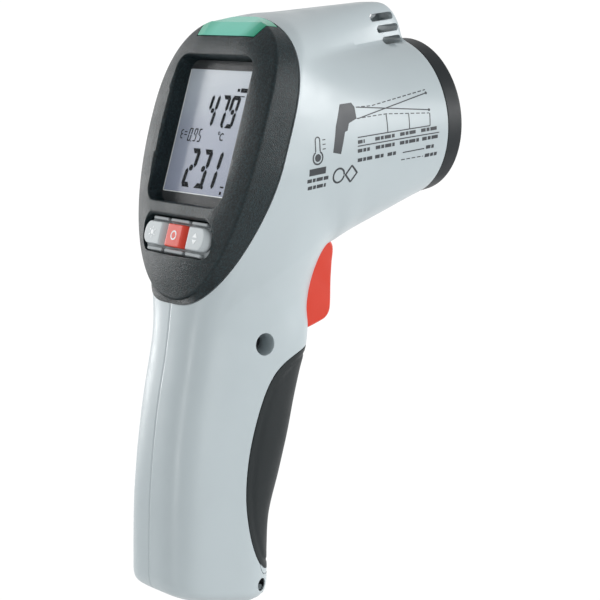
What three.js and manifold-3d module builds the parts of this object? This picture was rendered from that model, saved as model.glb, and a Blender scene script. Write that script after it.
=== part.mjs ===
// Hand-held infrared thermometer with a display, three keys, a trigger and a battery door.
//
// Everything is modelled in the nose frame: the origin is on the barrel's axis at the front of
// the nose ring, +X is the side with the screw recess, +Y points forward and +Z up.
// The last lines move the whole object so that the centre of its flat foot is the origin.
import * as THREE from 'three';
import { mergeVertices } from 'three/addons/utils/BufferGeometryUtils.js';
import Module from 'manifold-3d';

const manifoldLibrary = await Module();
manifoldLibrary.setup();
const { Manifold, Mesh: SolidMesh } = manifoldLibrary;

// ---- Driving dimensions, in millimetres and degrees ----
const WALL = 2.0; // housing wall
const GAP = 0.3; // between two pieces that meet
const SEAM = 0.15; // each housing half stops this far from the middle plane

const RING_RADIUS = 25.0; // nose ring
const RING_LENGTH = 7.0;
const BARREL_RADIUS = 25.6; // housing just behind the ring
const CREST_TOP = 38.3; // height of the crest above the barrel's axis
const CREST_HALF_WIDTH = 6.0; // at the front, where the vents are
const HEAD_HALF_WIDTH = 29.6; // at the display bezel
const HANDLE_HALF_WIDTH = 16.6;

const DISPLAY_TILT = THREE.MathUtils.degToRad(22); // the display leans forward at its top
const DISPLAY_CENTRE = { y: -79.9, z: 4.6 };
const DISPLAY_HALF = { x: 20.2, top: 22.8, bottom: 23.3 }; // opening of the display recess
const BEZEL = { halfWidth: 30.6, centre: 2, top: 34, bottom: 56.5, topPower: 2.8, bottomPower: 2 };
const BEZEL_FACE = 5.2; // height of the bezel's face above the display glass
const KEY_ROW = -33.4; // keys, measured down the display from its centre
const KEY_HEIGHT = 7.2;
const KEY_TOP = 4.8;
const KEY_ROW_HALF = 17.7;
const MIDDLE_KEY_HALF = 5.5;
const MAIN_BOARD_LEVEL = -10; // outer face of the main board, below the display glass
const BOARD_THICKNESS = 1.6;

const HANDLE_RAKE = THREE.MathUtils.degToRad(16.5);
const BATTERY = { width: 26.5, depth: 17.5, length: 48.5, y: -90.5, z: -99.1 };
const TRIGGER_PIVOT = { y: -50, z: -31 };
const TRIGGER_HALF_WIDTH = 6.3;
const PIN_RADIUS = 1.5;
const DOOR_PIVOT = { y: -81.7, z: -130.2 };
const LANYARD = { y: -85.1, z: -136.2, radius: 2.1, depth: 9.4 };
const SCREW = { y: -77.9, z: -60.1, recess: 3.5 };
const VENTS = [
  { y: -15.8, z: 33.4, length: 11.0 },
  { y: -13.9, z: 29.6, length: 10.4 },
  { y: -12.6, z: 25.8, length: 9.0 },
];
const VENT_HEIGHT = 2.4;

// ---- Colours ----
const plastic = (color, roughness) => new THREE.MeshStandardMaterial({ color, roughness, metalness: 0 });
const metal = (color, roughness) => new THREE.MeshStandardMaterial({ color, roughness, metalness: 1 });
const LOOKS = {
  housing: plastic(0xc3ccd1, 0.4),
  bezel: plastic(0x45484c, 0.6),
  grip: plastic(0x232c2f, 0.55),
  orange: plastic(0xe8573a, 0.4),
  key: plastic(0xc0c8cc, 0.45),
  mint: plastic(0x6fd2b8, 0.3),
  glass: plastic(0xdfe8ee, 0.05),
  liquidCrystal: plastic(0x97a0b4, 0.2),
  blackPlastic: plastic(0x1d1f22, 0.5),
  board: plastic(0x1f6b3f, 0.5),
  rubber: plastic(0x9aa3a8, 0.8),
  steel: metal(0xb4b7ba, 0.3),
  brass: metal(0xc9a75a, 0.35),
  germanium: metal(0x6d6f75, 0.15),
  battery: plastic(0x2f3438, 0.35),
  red: plastic(0xb3261e, 0.5),
};

// ---- Solids ----
const FAR = 80; // longer than anything a cutter goes through

function solidOf(geometry) {
  const bare = geometry.clone();
  for (const name of Object.keys(bare.attributes)) {
    if (name !== 'position') bare.deleteAttribute(name);
  }
  const merged = mergeVertices(bare, 1e-4);
  return new Manifold(
    new SolidMesh({
      numProp: 3,
      vertProperties: new Float32Array(merged.attributes.position.array),
      triVerts: new Uint32Array(merged.index.array),
    }),
  );
}

function geometryOf(solid) {
  const mesh = solid.getMesh();
  const geometry = new THREE.BufferGeometry();
  geometry.setAttribute('position', new THREE.BufferAttribute(new Float32Array(mesh.vertProperties), 3));
  geometry.setIndex(new THREE.BufferAttribute(new Uint32Array(mesh.triVerts), 1));
  return geometry;
}

const cut = (solid, ...tools) => tools.reduce((left, tool) => left.subtract(tool), solid);
const join = (solid, ...others) => others.reduce((sum, other) => sum.add(other), solid);
const overlap = (solid, other) => solid.intersect(other);

// Frames: a matrix takes a solid's own axes to the nose frame.
const noseFrame = new THREE.Matrix4();
const displayUp = new THREE.Vector3(0, Math.sin(DISPLAY_TILT), Math.cos(DISPLAY_TILT));
const displayOut = new THREE.Vector3(0, -Math.cos(DISPLAY_TILT), Math.sin(DISPLAY_TILT));
const displayFrame = new THREE.Matrix4()
  .makeBasis(new THREE.Vector3(1, 0, 0), displayUp, displayOut)
  .setPosition(0, DISPLAY_CENTRE.y, DISPLAY_CENTRE.z);
const handleFrame = new THREE.Matrix4()
  .makeRotationX(-HANDLE_RAKE)
  .setPosition(0, BATTERY.y, BATTERY.z);

// A box from its two opposite corners.
function box(low, high, frame = noseFrame) {
  const size = high.map((value, axis) => value - low[axis]);
  const middle = high.map((value, axis) => (value + low[axis]) / 2);
  const geometry = new THREE.BoxGeometry(...size).translate(...middle);
  return solidOf(geometry.applyMatrix4(frame));
}

// A cylinder along the named axis, from one coordinate on that axis to another.
function rod(axis, radius, from, to, centre, frame = noseFrame, sides = 20) {
  const geometry = new THREE.CylinderGeometry(radius, radius, to - from, sides);
  if (axis === 'x') geometry.rotateZ(-Math.PI / 2);
  if (axis === 'z') geometry.rotateX(Math.PI / 2);
  const middle = (from + to) / 2;
  if (axis === 'x') geometry.translate(middle, centre[0], centre[1]);
  if (axis === 'y') geometry.translate(centre[0], middle, centre[1]);
  if (axis === 'z') geometry.translate(centre[0], centre[1], middle);
  return solidOf(geometry.applyMatrix4(frame));
}

// A side-view outline of [y, z] points, made solid from x = from to x = to.
function sidePlate(points, from, to) {
  const shape = new THREE.Shape(points.map(([y, z]) => new THREE.Vector2(y, z)));
  const geometry = new THREE.ExtrudeGeometry(shape, { depth: to - from, bevelEnabled: false });
  const axes = new THREE.Matrix4().makeBasis(
    new THREE.Vector3(0, 1, 0),
    new THREE.Vector3(0, 0, 1),
    new THREE.Vector3(1, 0, 0),
  );
  return solidOf(geometry.applyMatrix4(axes.setPosition(from, 0, 0)));
}

// A flat outline of [x, v] points on the display, made solid between two heights above the glass.
function displayPlate(points, from, to) {
  const shape = new THREE.Shape(points.map(([x, v]) => new THREE.Vector2(x, v)));
  const geometry = new THREE.ExtrudeGeometry(shape, { depth: to - from, bevelEnabled: false });
  return solidOf(geometry.translate(0, 0, from).applyMatrix4(displayFrame));
}

function roundedOutline(left, right, bottom, top, radius, steps = 4) {
  const corners = [
    [right - radius, top - radius, 0],
    [left + radius, top - radius, 90],
    [left + radius, bottom + radius, 180],
    [right - radius, bottom + radius, 270],
  ];
  return corners.flatMap(([x, v, start]) =>
    Array.from({ length: steps + 1 }, (_, step) => {
      const angle = THREE.MathUtils.degToRad(start + (90 * step) / steps);
      return [x + radius * Math.cos(angle), v + radius * Math.sin(angle)];
    }),
  );
}

// A turned piece about the barrel's axis, from its [radius, y] profile.
function lathe(profile, segments = 40) {
  const points = profile.map(([radius, y]) => new THREE.Vector2(radius, y));
  if (THREE.ShapeUtils.area(points) < 0) points.reverse();
  return solidOf(new THREE.LatheGeometry(points, segments));
}

function wire(points, radius, steps, sides = 8) {
  const path = new THREE.CatmullRomCurve3(points.map((point) => new THREE.Vector3(...point)));
  const section = new THREE.Shape().absarc(0, 0, radius, 0, Math.PI * 2);
  const settings = { extrudePath: path, steps, curveSegments: sides / 2, bevelEnabled: false };
  return solidOf(new THREE.ExtrudeGeometry(section, settings));
}

// ---- The housing's outer form ----
// Sections fan round from the nose, over the inner corner at the trigger and down the handle.
// Each one runs from a point on the lower or front edge to a point on the upper or rear edge.
const SECTIONS = [
  // [lower y, z], [upper y, z], widest at, lower roundness, upper roundness
  [[-7, -25.7], [-7, 27.5], 0.483, 2.0, 8],
  [[-8, -26], [-8, 32], 0.448, 2.0, 8],
  [[-9.6, -26.4], [-9.6, 35.2], 0.429, 2.0, 8],
  [[-12.2, -27.1], [-12.2, 37.4], 0.42, 2.0, 8],
  [[-16, -28.2], [-17, 38.2], 0.425, 2.0, 8],
  [[-22, -30], [-26, 38.3], 0.439, 2.0, 8],
  [[-29, -32], [-38, 38.3], 0.455, 2.0, 8],
  [[-35.5, -34], [-50, 38.3], 0.47, 2.0, 8],
  [[-41, -35.8], [-62, 38.3], 0.483, 2.1, 8],
  [[-44.6, -37.3], [-74, 34], 0.523, 2.1, 7],
  [[-47.3, -40.2], [-81, 20], 0.66, 2.2, 6],
  [[-49.4, -44.5], [-87, 3], 0.7, 2.2, 5],
  [[-51.4, -50], [-92.5, -14], 0.7, 2.3, 4.5],
  [[-52.8, -55], [-97, -30], 0.65, 2.4, 4],
  [[-53.4, -60], [-100.3, -46], 0.55, 2.5, 3.7],
  [[-55.2, -66], [-102.3, -55], 0.5, 2.6, 3.6],
  [[-58.6, -73], [-104.4, -63], 0.5, 2.7, 3.6],
  [[-62, -82], [-107.1, -72], 0.5, 2.7, 3.6],
  [[-65.4, -92], [-109.7, -82], 0.5, 2.7, 3.6],
  [[-70, -103.5], [-112, -92.5], 0.5, 2.7, 3.6],
  [[-75.1, -115.5], [-114.1, -104.5], 0.5, 2.7, 3.6],
  [[-77, -126], [-115.6, -116], 0.5, 2.7, 3.6],
  [[-77.7, -133.5], [-116.6, -125], 0.5, 2.7, 3.6],
  [[-78.6, -138.5], [-116.9, -129], 0.5, 2.7, 3.6],
  [[-80.8, -141.3], [-116, -131.9], 0.5, 2.8, 3.6],
  [[-84.5, -142.4], [-113, -134.2], 0.5, 2.8, 3.6],
];
const LAST_SECTION = SECTIONS.length - 1;
const BAY_END = 21.3; // the inside of the handle stops at this section, above the solid foot

const splineOf = (pick) =>
  new THREE.CatmullRomCurve3(
    SECTIONS.map((section) => new THREE.Vector3(...pick(section))),
    false,
    'catmullrom',
  );
const lowerEdge = splineOf(([lower]) => [0, ...lower]);
const upperEdge = splineOf(([, upper]) => [0, ...upper]);
const formOfSection = splineOf(([, , widest, lowPower, highPower]) => [widest, lowPower, highPower]);

const { clamp, lerp, smoothstep } = THREE.MathUtils;
const rounded = (t, power) => Math.max(1 - Math.abs(t) ** power, 0) ** (1 / power);
const softMax = (a, b, power = 4) => (a ** power + b ** power) ** (1 / power);
const heightAboveGlass = (y, z) =>
  (y - DISPLAY_CENTRE.y) * displayOut.y + (z - DISPLAY_CENTRE.z) * displayOut.z;
const distanceUpDisplay = (y, z) =>
  (y - DISPLAY_CENTRE.y) * displayUp.y + (z - DISPLAY_CENTRE.z) * displayUp.z;

// Half the object's width at a point of its side view, before its edges are rounded.
function sideWidth(y, z) {
  const towardsBezel = clamp((heightAboveGlass(y, z) + 64) / 56, 0, 1) ** 1.6;
  const blend = Math.max(towardsBezel, smoothstep(-z, 20, 50));
  const barrel = z > 0 ? Math.sqrt(Math.max(BARREL_RADIUS ** 2 - z * z, 0)) : BARREL_RADIUS;
  const crest = z > 0 ? CREST_HALF_WIDTH * rounded(z / CREST_TOP, 4) : 0;
  const front = softMax(barrel, crest);
  const narrowing = smoothstep(z, -56, -4);
  const low = HANDLE_HALF_WIDTH + (HEAD_HALF_WIDTH - HANDLE_HALF_WIDTH) * narrowing;
  const rear = z > 4 ? HEAD_HALF_WIDTH * rounded((z - 4) / 34.8, 2.8) : low;
  return lerp(front, rear, blend);
}

// Side-view point and half width of section `at` (0 is the nose), a fraction `across` of the
// way from its lower to its upper edge, on the surface that lies `inset` inside the outer one.
function surfacePoint(at, across, inset = 0) {
  const lower = lowerEdge.getPoint(at / LAST_SECTION);
  const upper = upperEdge.getPoint(at / LAST_SECTION);
  const { x: widest, y: lowPower, z: highPower } = formOfSection.getPoint(at / LAST_SECTION);
  const start = inset / lower.distanceTo(upper);
  const along = lerp(start, 1 - start, across);
  const y = lerp(lower.y, upper.y, along);
  const z = lerp(lower.z, upper.z, along);
  const rounding =
    across < widest
      ? rounded((widest - across) / widest, lowPower)
      : rounded((across - widest) / (1 - widest), highPower);
  const foot = 1 - 0.16 * smoothstep(at, LAST_SECTION - 2.2, LAST_SECTION) ** 2;
  const width = sideWidth(y, z) * rounding * foot;
  return { y, z, width: width === 0 ? 0 : width ** 2 / (width + inset) };
}

// A closed solid through sections `from` to `to`.
function bodyForm(inset, from, to, steps, halfSteps) {
  const fractions = Array.from({ length: halfSteps + 1 }, (_, step) => {
    const even = step / halfSteps;
    return lerp(even, (1 - Math.cos(Math.PI * even)) / 2, 0.85);
  });
  const positions = [];
  const ringLength = 2 * halfSteps;
  for (let step = 0; step <= steps; step += 1) {
    const at = lerp(from, to, step / steps);
    const right = fractions.map((across) => surfacePoint(at, across, inset));
    for (const { y, z, width } of right) positions.push(width, y, z);
    for (const { y, z, width } of right.slice(1, -1).reverse()) positions.push(-width, y, z);
  }
  const faces = [];
  for (let step = 0; step < steps; step += 1) {
    for (let corner = 0; corner < ringLength; corner += 1) {
      const next = (corner + 1) % ringLength;
      const a = step * ringLength + corner;
      const b = step * ringLength + next;
      faces.push(a, b, a + ringLength, b, b + ringLength, a + ringLength);
    }
  }
  // Both ends are flat, closed by strips from the right side to the left side.
  for (const [start, flip] of [[0, true], [steps * ringLength, false]]) {
    for (let step = 0; step < halfSteps; step += 1) {
      const right = start + step;
      const nextRight = start + step + 1;
      const left = start + ((ringLength - step) % ringLength);
      const nextLeft = start + ringLength - step - 1;
      const corners = [];
      if (step > 0) corners.push([right, nextRight, left]);
      if (step < halfSteps - 1) corners.push([nextRight, nextLeft, left]);
      if (step === 0) corners.push([right, nextRight, nextLeft]);
      const triangles = step === 0 ? [corners.at(-1)] : corners;
      for (const [a, b, c] of triangles) faces.push(...(flip ? [a, c, b] : [a, b, c]));
    }
  }
  const geometry = new THREE.BufferGeometry();
  geometry.setAttribute('position', new THREE.BufferAttribute(new Float32Array(positions), 3));
  geometry.setIndex(faces);
  return solidOf(geometry);
}

const STEPS_ALONG = 44;
const STEPS_AROUND = 14;
const outerForm = bodyForm(0, 0, LAST_SECTION, STEPS_ALONG, STEPS_AROUND);
const innerForm = bodyForm(WALL, 1.6, BAY_END, 26, 11);

// ---- The joint between housing and bezel ----
// Height of that joint above the display glass: it curves up towards the bezel's two ends.
function jointLevel(v) {
  const t = v - BEZEL.centre;
  return t > 0 ? -8 + 4.8 * (t / BEZEL.top) ** 3 : -8 + 8.5 * (-t / BEZEL.bottom) ** 3;
}

function behindJoint(shift) {
  const curve = Array.from({ length: 25 }, (_, step) => lerp(-66, 46, step / 24));
  const outline = curve.map((v) => [v, jointLevel(v) + shift]);
  outline.push([46, FAR], [-66, FAR]);
  const points = outline.map(([v, d]) => [
    DISPLAY_CENTRE.y + displayUp.y * v + displayOut.y * d,
    DISPLAY_CENTRE.z + displayUp.z * v + displayOut.z * d,
  ]);
  return sidePlate(points, -FAR / 2, FAR / 2);
}

// ---- The bezel's outer form, in rings from the joint to the face ----
const BEZEL_POINTS = 44;

function bezelOutline(angle, scale) {
  const up = Math.sin(angle);
  const across = Math.cos(angle);
  const power = 2 / (up > 0 ? BEZEL.topPower : BEZEL.bottomPower);
  const reach = up > 0 ? BEZEL.top : BEZEL.bottom;
  return [
    Math.sign(across) * Math.abs(across) ** power * BEZEL.halfWidth * scale,
    BEZEL.centre + Math.sign(up) * Math.abs(up) ** power * reach * scale,
  ];
}

const edgeLevel = (v) => {
  const t = v - BEZEL.centre;
  return 3.3 - 2.3 * (t > 0 ? t / BEZEL.top : t / BEZEL.bottom) ** 2;
};

// How far a point of the side view lies behind the joint, towards the display.
const behind = (y, z) => heightAboveGlass(y, z) - jointLevel(distanceUpDisplay(y, z));

// The value between `low` and `high` where test() turns from false to true.
function turningPoint(low, high, test) {
  let [start, end] = [low, high];
  for (let pass = 0; pass < 30; pass += 1) {
    const middle = (start + end) / 2;
    if (test(middle)) end = middle;
    else start = middle;
  }
  return end;
}

// Where the joint crosses the outer form: [half width, v] from the top to the bottom.
function jointOutline(count) {
  const crossed = (at) => {
    const { y, z } = surfacePoint(at, 1);
    return behind(y, z) > 0;
  };
  const first = turningPoint(7.5, 9, crossed);
  const last = turningPoint(13, 15, (at) => !crossed(at));
  return Array.from({ length: count }, (_, step) => {
    const at = lerp(first, last, (1 - Math.cos((Math.PI * (step + 0.2)) / (count - 0.6))) / 2);
    const across = turningPoint(0.4, 1, (fraction) => {
      const { y, z } = surfacePoint(at, fraction);
      return behind(y, z) > 0;
    });
    const { y, z, width } = surfacePoint(at, across);
    return [width, distanceUpDisplay(y, z)];
  });
}

function bezelForm() {
  const half = jointOutline(BEZEL_POINTS / 2);
  const joint = [...half, ...half.slice().reverse().map(([width, v]) => [-width, v])];
  const count = joint.length;
  // Each point of the joint has a partner at the same height on the bezel's edge.
  const partner = ([width, v], scale) => {
    const t = clamp((v - BEZEL.centre) / (v > BEZEL.centre ? BEZEL.top + 2.4 : BEZEL.bottom), -1, 1);
    const angle = Math.asin(Math.sign(t) * Math.abs(t) ** ((t > 0 ? BEZEL.topPower : BEZEL.bottomPower) / 2));
    return bezelOutline(width > 0 ? angle : Math.PI - angle, scale);
  };
  const rings = [joint.map(([width, v]) => [width, v, jointLevel(v) + GAP])];
  for (const [scale, drop] of [[1, 1.2], [0.975, 0], [0.87, -0.9], [0.7, -1.5]]) {
    rings.push(
      joint.map((point) => {
        const [x, v] = partner(point, scale);
        const level = Math.min(edgeLevel(v) - drop, BEZEL_FACE);
        return [x, v, scale < 0.8 ? BEZEL_FACE - 0.3 : level];
      }),
    );
  }
  const positions = rings.flat().flat();
  const faces = [];
  for (let ring = 0; ring < rings.length - 1; ring += 1) {
    for (let corner = 0; corner < count; corner += 1) {
      const next = (corner + 1) % count;
      const a = ring * count + corner;
      const b = ring * count + next;
      faces.push(a, a + count, b, b, a + count, b + count);
    }
  }
  const top = (rings.length - 1) * count;
  for (let step = 0; step < count / 2 - 1; step += 1) {
    const right = step;
    const left = count - 1 - step;
    faces.push(right, right + 1, left, right + 1, left - 1, left);
    faces.push(top + right, top + left, top + right + 1, top + right + 1, top + left, top + left - 1);
  }
  const geometry = new THREE.BufferGeometry();
  geometry.setAttribute('position', new THREE.BufferAttribute(new Float32Array(positions), 3));
  geometry.setIndex(faces);
  const solid = solidOf(geometry.applyMatrix4(displayFrame));
  return solid;
}

// ---- Battery door ----
// The door's edge in the side view, from the front at its top, round the back, to its foot.
const DOOR_EDGE = [
  [-52, -65.2],
  [-61, -65.4],
  [-70.4, -67.7],
  [-76.8, -72.5],
  [-82.3, -81.7],
  [-87.1, -94.3],
  [-89.4, -107.5],
  [-88.5, -120.3],
  [-85.2, -129.2],
  [-80.5, -132.4],
  [-72, -132.7],
];
const DOOR_EDGE_STEPS = 26;

// Everything in front of the door's edge, grown all round by `margin`.
function doorRegion(margin) {
  const curve = new THREE.SplineCurve(DOOR_EDGE.map(([y, z]) => new THREE.Vector2(y, z)));
  const outline = Array.from({ length: DOOR_EDGE_STEPS + 1 }, (_, step) => {
    const point = curve.getPoint(step / DOOR_EDGE_STEPS);
    const along = curve.getTangent(step / DOOR_EDGE_STEPS);
    return [point.x + along.y * margin, point.y - along.x * margin];
  });
  const [firstZ, lastZ] = [outline[0][1], outline.at(-1)[1]];
  return sidePlate([...outline, [-40, lastZ], [-40, firstZ]], -FAR / 2, FAR / 2);
}

const KNUCKLE = { radius: 2.0, half: 3.5, pin: 0.9, pinHalf: 6.3 };
const LUG = { radius: 1.8, from: 3.9, to: 6.5, rear: -89 };
const GRIP_THICKNESS = 1.3;
const CARRIER = { outer: 1.6, inner: 2.7 };
const DOOR_STEPS = { along: 30, around: 11, from: 13, to: 24 };
const doorForm = (inset) =>
  bodyForm(inset, DOOR_STEPS.from, DOOR_STEPS.to, DOOR_STEPS.along, DOOR_STEPS.around);
const pivotRod = (radius, half) =>
  rod('x', radius, -half, half, [DOOR_PIVOT.y, DOOR_PIVOT.z], noseFrame, 16);

function doorGrip() {
  return overlap(cut(doorForm(0), doorForm(GRIP_THICKNESS)), doorRegion(0));
}

function batteryDoor() {
  const shell = overlap(cut(doorForm(CARRIER.outer), doorForm(CARRIER.inner)), doorRegion(0));
  const door = join(shell, pivotRod(KNUCKLE.radius, KNUCKLE.half));
  const lugRoom = [-1, 1].map((side) => {
    const [near, far] = [side * (LUG.from - GAP), side * (LUG.to + GAP)].sort((a, b) => a - b);
    return box([near, -86, -134], [far, DOOR_PIVOT.y + LUG.radius + GAP, -127.8]);
  });
  return cut(door, pivotRod(KNUCKLE.pin + 0.2, FAR), ...lugRoom);
}

// Room in the foot for the door's lower edge as the door swings forward.
const SWING_ROOM = [
  // [radius, half width]
  [5.4, 5],
  [5.1, 7.5],
  [4.6, 9.5],
  [3.75, FAR],
];
const doorSwing = () => join(...SWING_ROOM.map(([radius, half]) => pivotRod(radius, half)));

// Two lugs hold the ends of the door's hinge pin; each one grows out of the foot behind it.
function hingeLugs() {
  const lugs = [-1, 1].flatMap((side) => {
    const [low, high] = [side * LUG.from, side * LUG.to].sort((a, b) => a - b);
    return [
      rod('x', LUG.radius, low, high, [DOOR_PIVOT.y, DOOR_PIVOT.z], noseFrame, 16),
      box([low, LUG.rear, DOOR_PIVOT.z - LUG.radius], [high, DOOR_PIVOT.y, DOOR_PIVOT.z + LUG.radius]),
    ];
  });
  return cut(join(...lugs), pivotRod(KNUCKLE.pin + 0.1, FAR));
}

// ---- Housing ----
const TRIGGER_SLOT_HALF = TRIGGER_HALF_WIDTH + 0.4;
const NOSE_BORE = 20.7;
const BOSS = { screw: 4.4, pin: 3.4 };

function housingCutters() {
  const vents = VENTS.map(({ y, z, length }) =>
    box([-FAR, y - length / 2, z - VENT_HEIGHT / 2], [FAR, y + length / 2, z + VENT_HEIGHT / 2]),
  );
  const slot = box([-TRIGGER_SLOT_HALF, -60.5, -62.2], [TRIGGER_SLOT_HALF, -38.5, -31.8]);
  const noseBore = rod('y', NOSE_BORE, -13, -5, [0, 0], noseFrame, 44);
  const screwRecess = rod('x', SCREW.recess, 8.5, FAR, [SCREW.y, SCREW.z]);
  const screwHole = rod('x', 1.7, -11, FAR, [SCREW.y, SCREW.z], noseFrame, 14);
  const pinHole = rod('x', PIN_RADIUS + 0.15, -9.2, 9.2, [TRIGGER_PIVOT.y, TRIGGER_PIVOT.z], noseFrame, 16);
  const lanyardSide = rod('x', LANYARD.radius, LANYARD.depth, FAR, [LANYARD.y, LANYARD.z]);
  const lanyardDown = rod('z', LANYARD.radius, -146, LANYARD.z, [LANYARD.depth + 1.8, LANYARD.y]);
  return [...vents, slot, noseBore, screwRecess, screwHole, pinHole, lanyardSide, lanyardDown]
    .concat([doorSwing(), doorRegion(GAP), behindJoint(-0.05)]);
}

function housingBody() {
  const shell = cut(outerForm, innerForm);
  const screwBoss = rod('x', BOSS.screw, -FAR, FAR, [SCREW.y, SCREW.z]);
  const pinBoss = cut(
    rod('x', BOSS.pin, -FAR, FAR, [TRIGGER_PIVOT.y, TRIGGER_PIVOT.z]),
    box([-7.3, -60, -40], [7.3, -40, -20]),
  );
  const springSeat = box([-FAR, -68, -22.4], [FAR, -60, -20.4]);
  const ribs = overlap(join(screwBoss, pinBoss, springSeat), bodyForm(0.8, 1, 20, 40, STEPS_AROUND));
  return join(cut(join(shell, ribs), ...housingCutters()), hingeLugs());
}

const wholeHousing = housingBody();
const housingHalf = (side) => {
  const [low, high] = side > 0 ? [SEAM, FAR] : [-FAR, -SEAM];
  return overlap(wholeHousing, box([low, -200, -200], [high, 20, 80]));
};

// ---- Display bezel and what sits in it ----
const KEY_RECESS = { x: 18.6, top: -27.7, bottom: -39.3, radius: 4.6 };
const ALARM_WINDOW = [
  [-15, 29.4],
  [15, 29.4],
  [17.6, 36],
  [17.6, 46],
  [-17.6, 46],
  [-17.6, 36],
];
const BEZEL_SKIN = 2.2;
const POCKET_BOTTOM = -41.5; // the bezel is solid below this
const LCD_FRAME = { x: 22.6, v: 25.4 };
const BOARD_SCREW = { x: 23.6, v: 3 };
const wholeBezel = bezelForm();

const displayRod = (radius, from, to, x, v, sides = 16) =>
  rod('z', radius, from, to, [x, v], displayFrame, sides);
const displayBox = (x, v, low, high) => box([x[0], v[0], low], [x[1], v[1], high], displayFrame);

function bezelOutlinePoints(scale) {
  return Array.from({ length: BEZEL_POINTS }, (_, step) =>
    bezelOutline((2 * Math.PI * step) / BEZEL_POINTS + 0.03, scale),
  );
}

function displayBezel() {
  const pocket = overlap(
    displayPlate(bezelOutlinePoints(0.9), -14, BEZEL_FACE - 0.3 - BEZEL_SKIN),
    displayBox([-40, 40], [POCKET_BOTTOM, 40], -20, 20),
  );
  const frame = displayBox([-LCD_FRAME.x, LCD_FRAME.x], [-LCD_FRAME.v, LCD_FRAME.v], -3, 4);
  const keyWall = displayPlate(
    roundedOutline(-KEY_RECESS.x - 1.6, KEY_RECESS.x + 1.6, KEY_RECESS.bottom - 1.6, KEY_RECESS.top + 1.6, 5),
    -1,
    4,
  );
  const bosses = [-1, 1].map((side) => displayRod(2.3, -9.7, 4, side * BOARD_SCREW.x, BOARD_SCREW.v));
  const hollow = cut(pocket, join(frame, keyWall, ...bosses));
  const recess = displayPlate(
    roundedOutline(-DISPLAY_HALF.x, DISPLAY_HALF.x, -DISPLAY_HALF.bottom, DISPLAY_HALF.top, 4.5),
    -12,
    12,
  );
  const keyHole = displayPlate(
    roundedOutline(-KEY_RECESS.x, KEY_RECESS.x, KEY_RECESS.bottom, KEY_RECESS.top, KEY_RECESS.radius),
    -12,
    12,
  );
  const alarm = displayPlate(
    ALARM_WINDOW.map(([x, v]) => [x + Math.sign(x) * GAP, v < 30 ? v - GAP : v]),
    -3.1,
    20,
  );
  const screwBores = [-1, 1].map((side) => displayRod(1.2, -14, 1, side * BOARD_SCREW.x, BOARD_SCREW.v, 12));
  return cut(wholeBezel, hollow, recess, keyHole, alarm, ...screwBores);
}

const alarmLightWindow = () => overlap(wholeBezel, displayPlate(ALARM_WINDOW, -2.8, 20));
const PANE = roundedOutline(-19.9, 19.9, -23, 22.5, 4.2);
const displayWindow = () => displayPlate(PANE, -0.9, 0);
const lcdPanel = () => displayPlate(PANE, -3, -1.2);
const lcdBacklight = () => displayBox([-19, 19], [-19.6, 20], -6, -3.3);
const zebraStrip = () => displayBox([-17, 17], [-22.4, -20.2], -9.7, -3.3);

function mainBoard() {
  const outline = [
    [14, 31],
    [25, 18],
    [25, -12],
    [20, -24],
    [10, -44],
  ];
  const upwards = outline.slice().reverse();
  const downwards = outline.map(([x, v]) => [-x, v]);
  const innerFace = MAIN_BOARD_LEVEL - BOARD_THICKNESS;
  const plate = displayPlate([...upwards, ...downwards], innerFace, MAIN_BOARD_LEVEL);
  const holes = [-1, 1].map((side) => displayRod(1.4, -14, -8, side * BOARD_SCREW.x, BOARD_SCREW.v, 12));
  return cut(plate, ...holes);
}

function boardScrew(side) {
  const at = [side * BOARD_SCREW.x, BOARD_SCREW.v];
  return join(displayRod(2.1, -13.3, -11.9, ...at), displayRod(1.0, -12, -3, ...at, 12));
}

const alarmLed = () => displayBox([-2.5, 2.5], [27, 30], -9.7, -6.5);
const buzzer = () => displayRod(6, -15.9, -11.9, -8, -4, 24);

function keypadMat() {
  const [halfLength, bottom, top] = [18.3, KEY_RECESS.bottom + GAP, KEY_RECESS.top - GAP];
  const plate = displayPlate(roundedOutline(-halfLength, halfLength, bottom, top, 4.3), 0.6, 2.0);
  const posts = [-12, 0, 12].map((x) => displayRod(2.4, -9.6, 1, x, KEY_ROW, 12));
  return join(plate, ...posts);
}

function key(place) {
  const [bottom, top] = [KEY_ROW - KEY_HEIGHT / 2, KEY_ROW + KEY_HEIGHT / 2];
  const inner = MIDDLE_KEY_HALF + 0.4;
  const outline =
    place === 0
      ? roundedOutline(-MIDDLE_KEY_HALF, MIDDLE_KEY_HALF, bottom, top, 0.6, 2)
      : roundedOutline(-KEY_ROW_HALF, KEY_ROW_HALF, bottom, top, KEY_HEIGHT / 2 - 0.05, 8);
  const side = place === 0 ? [-FAR, FAR] : place > 0 ? [inner, FAR] : [-FAR, -inner];
  return overlap(displayPlate(outline, 2.8, KEY_TOP), displayBox(side, [-60, 0], -5, 10));
}

// ---- Nose ----
const noseRing = () =>
  lathe(
    [
      [21.2, -0.9],
      [22.2, 0],
      [24.2, 0],
      [RING_RADIUS, -0.8],
      [RING_RADIUS + 0.45, -RING_LENGTH + GAP],
      [21.2, -RING_LENGTH + GAP],
      [21.2, -0.9],
    ],
    56,
  );
const LASER_HEIGHT = 14.2;
const TUBE = { outer: 10, bore: 8.7, rear: -44 };

function frontPlate() {
  const cup = lathe(
    [
      [0, -3.6],
      [20.4, -3.6],
      [20.4, -13],
      [18.9, -13],
      [18.9, -5.6],
      [0, -5.6],
    ],
    44,
  );
  const lasers = [-1, 1].map((side) => rod('y', 2.6, -8, 0, [0, side * LASER_HEIGHT], noseFrame, 14));
  return cut(cup, rod('y', 8.2, -8, 0, [0, 0], noseFrame, 28), ...lasers);
}

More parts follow.
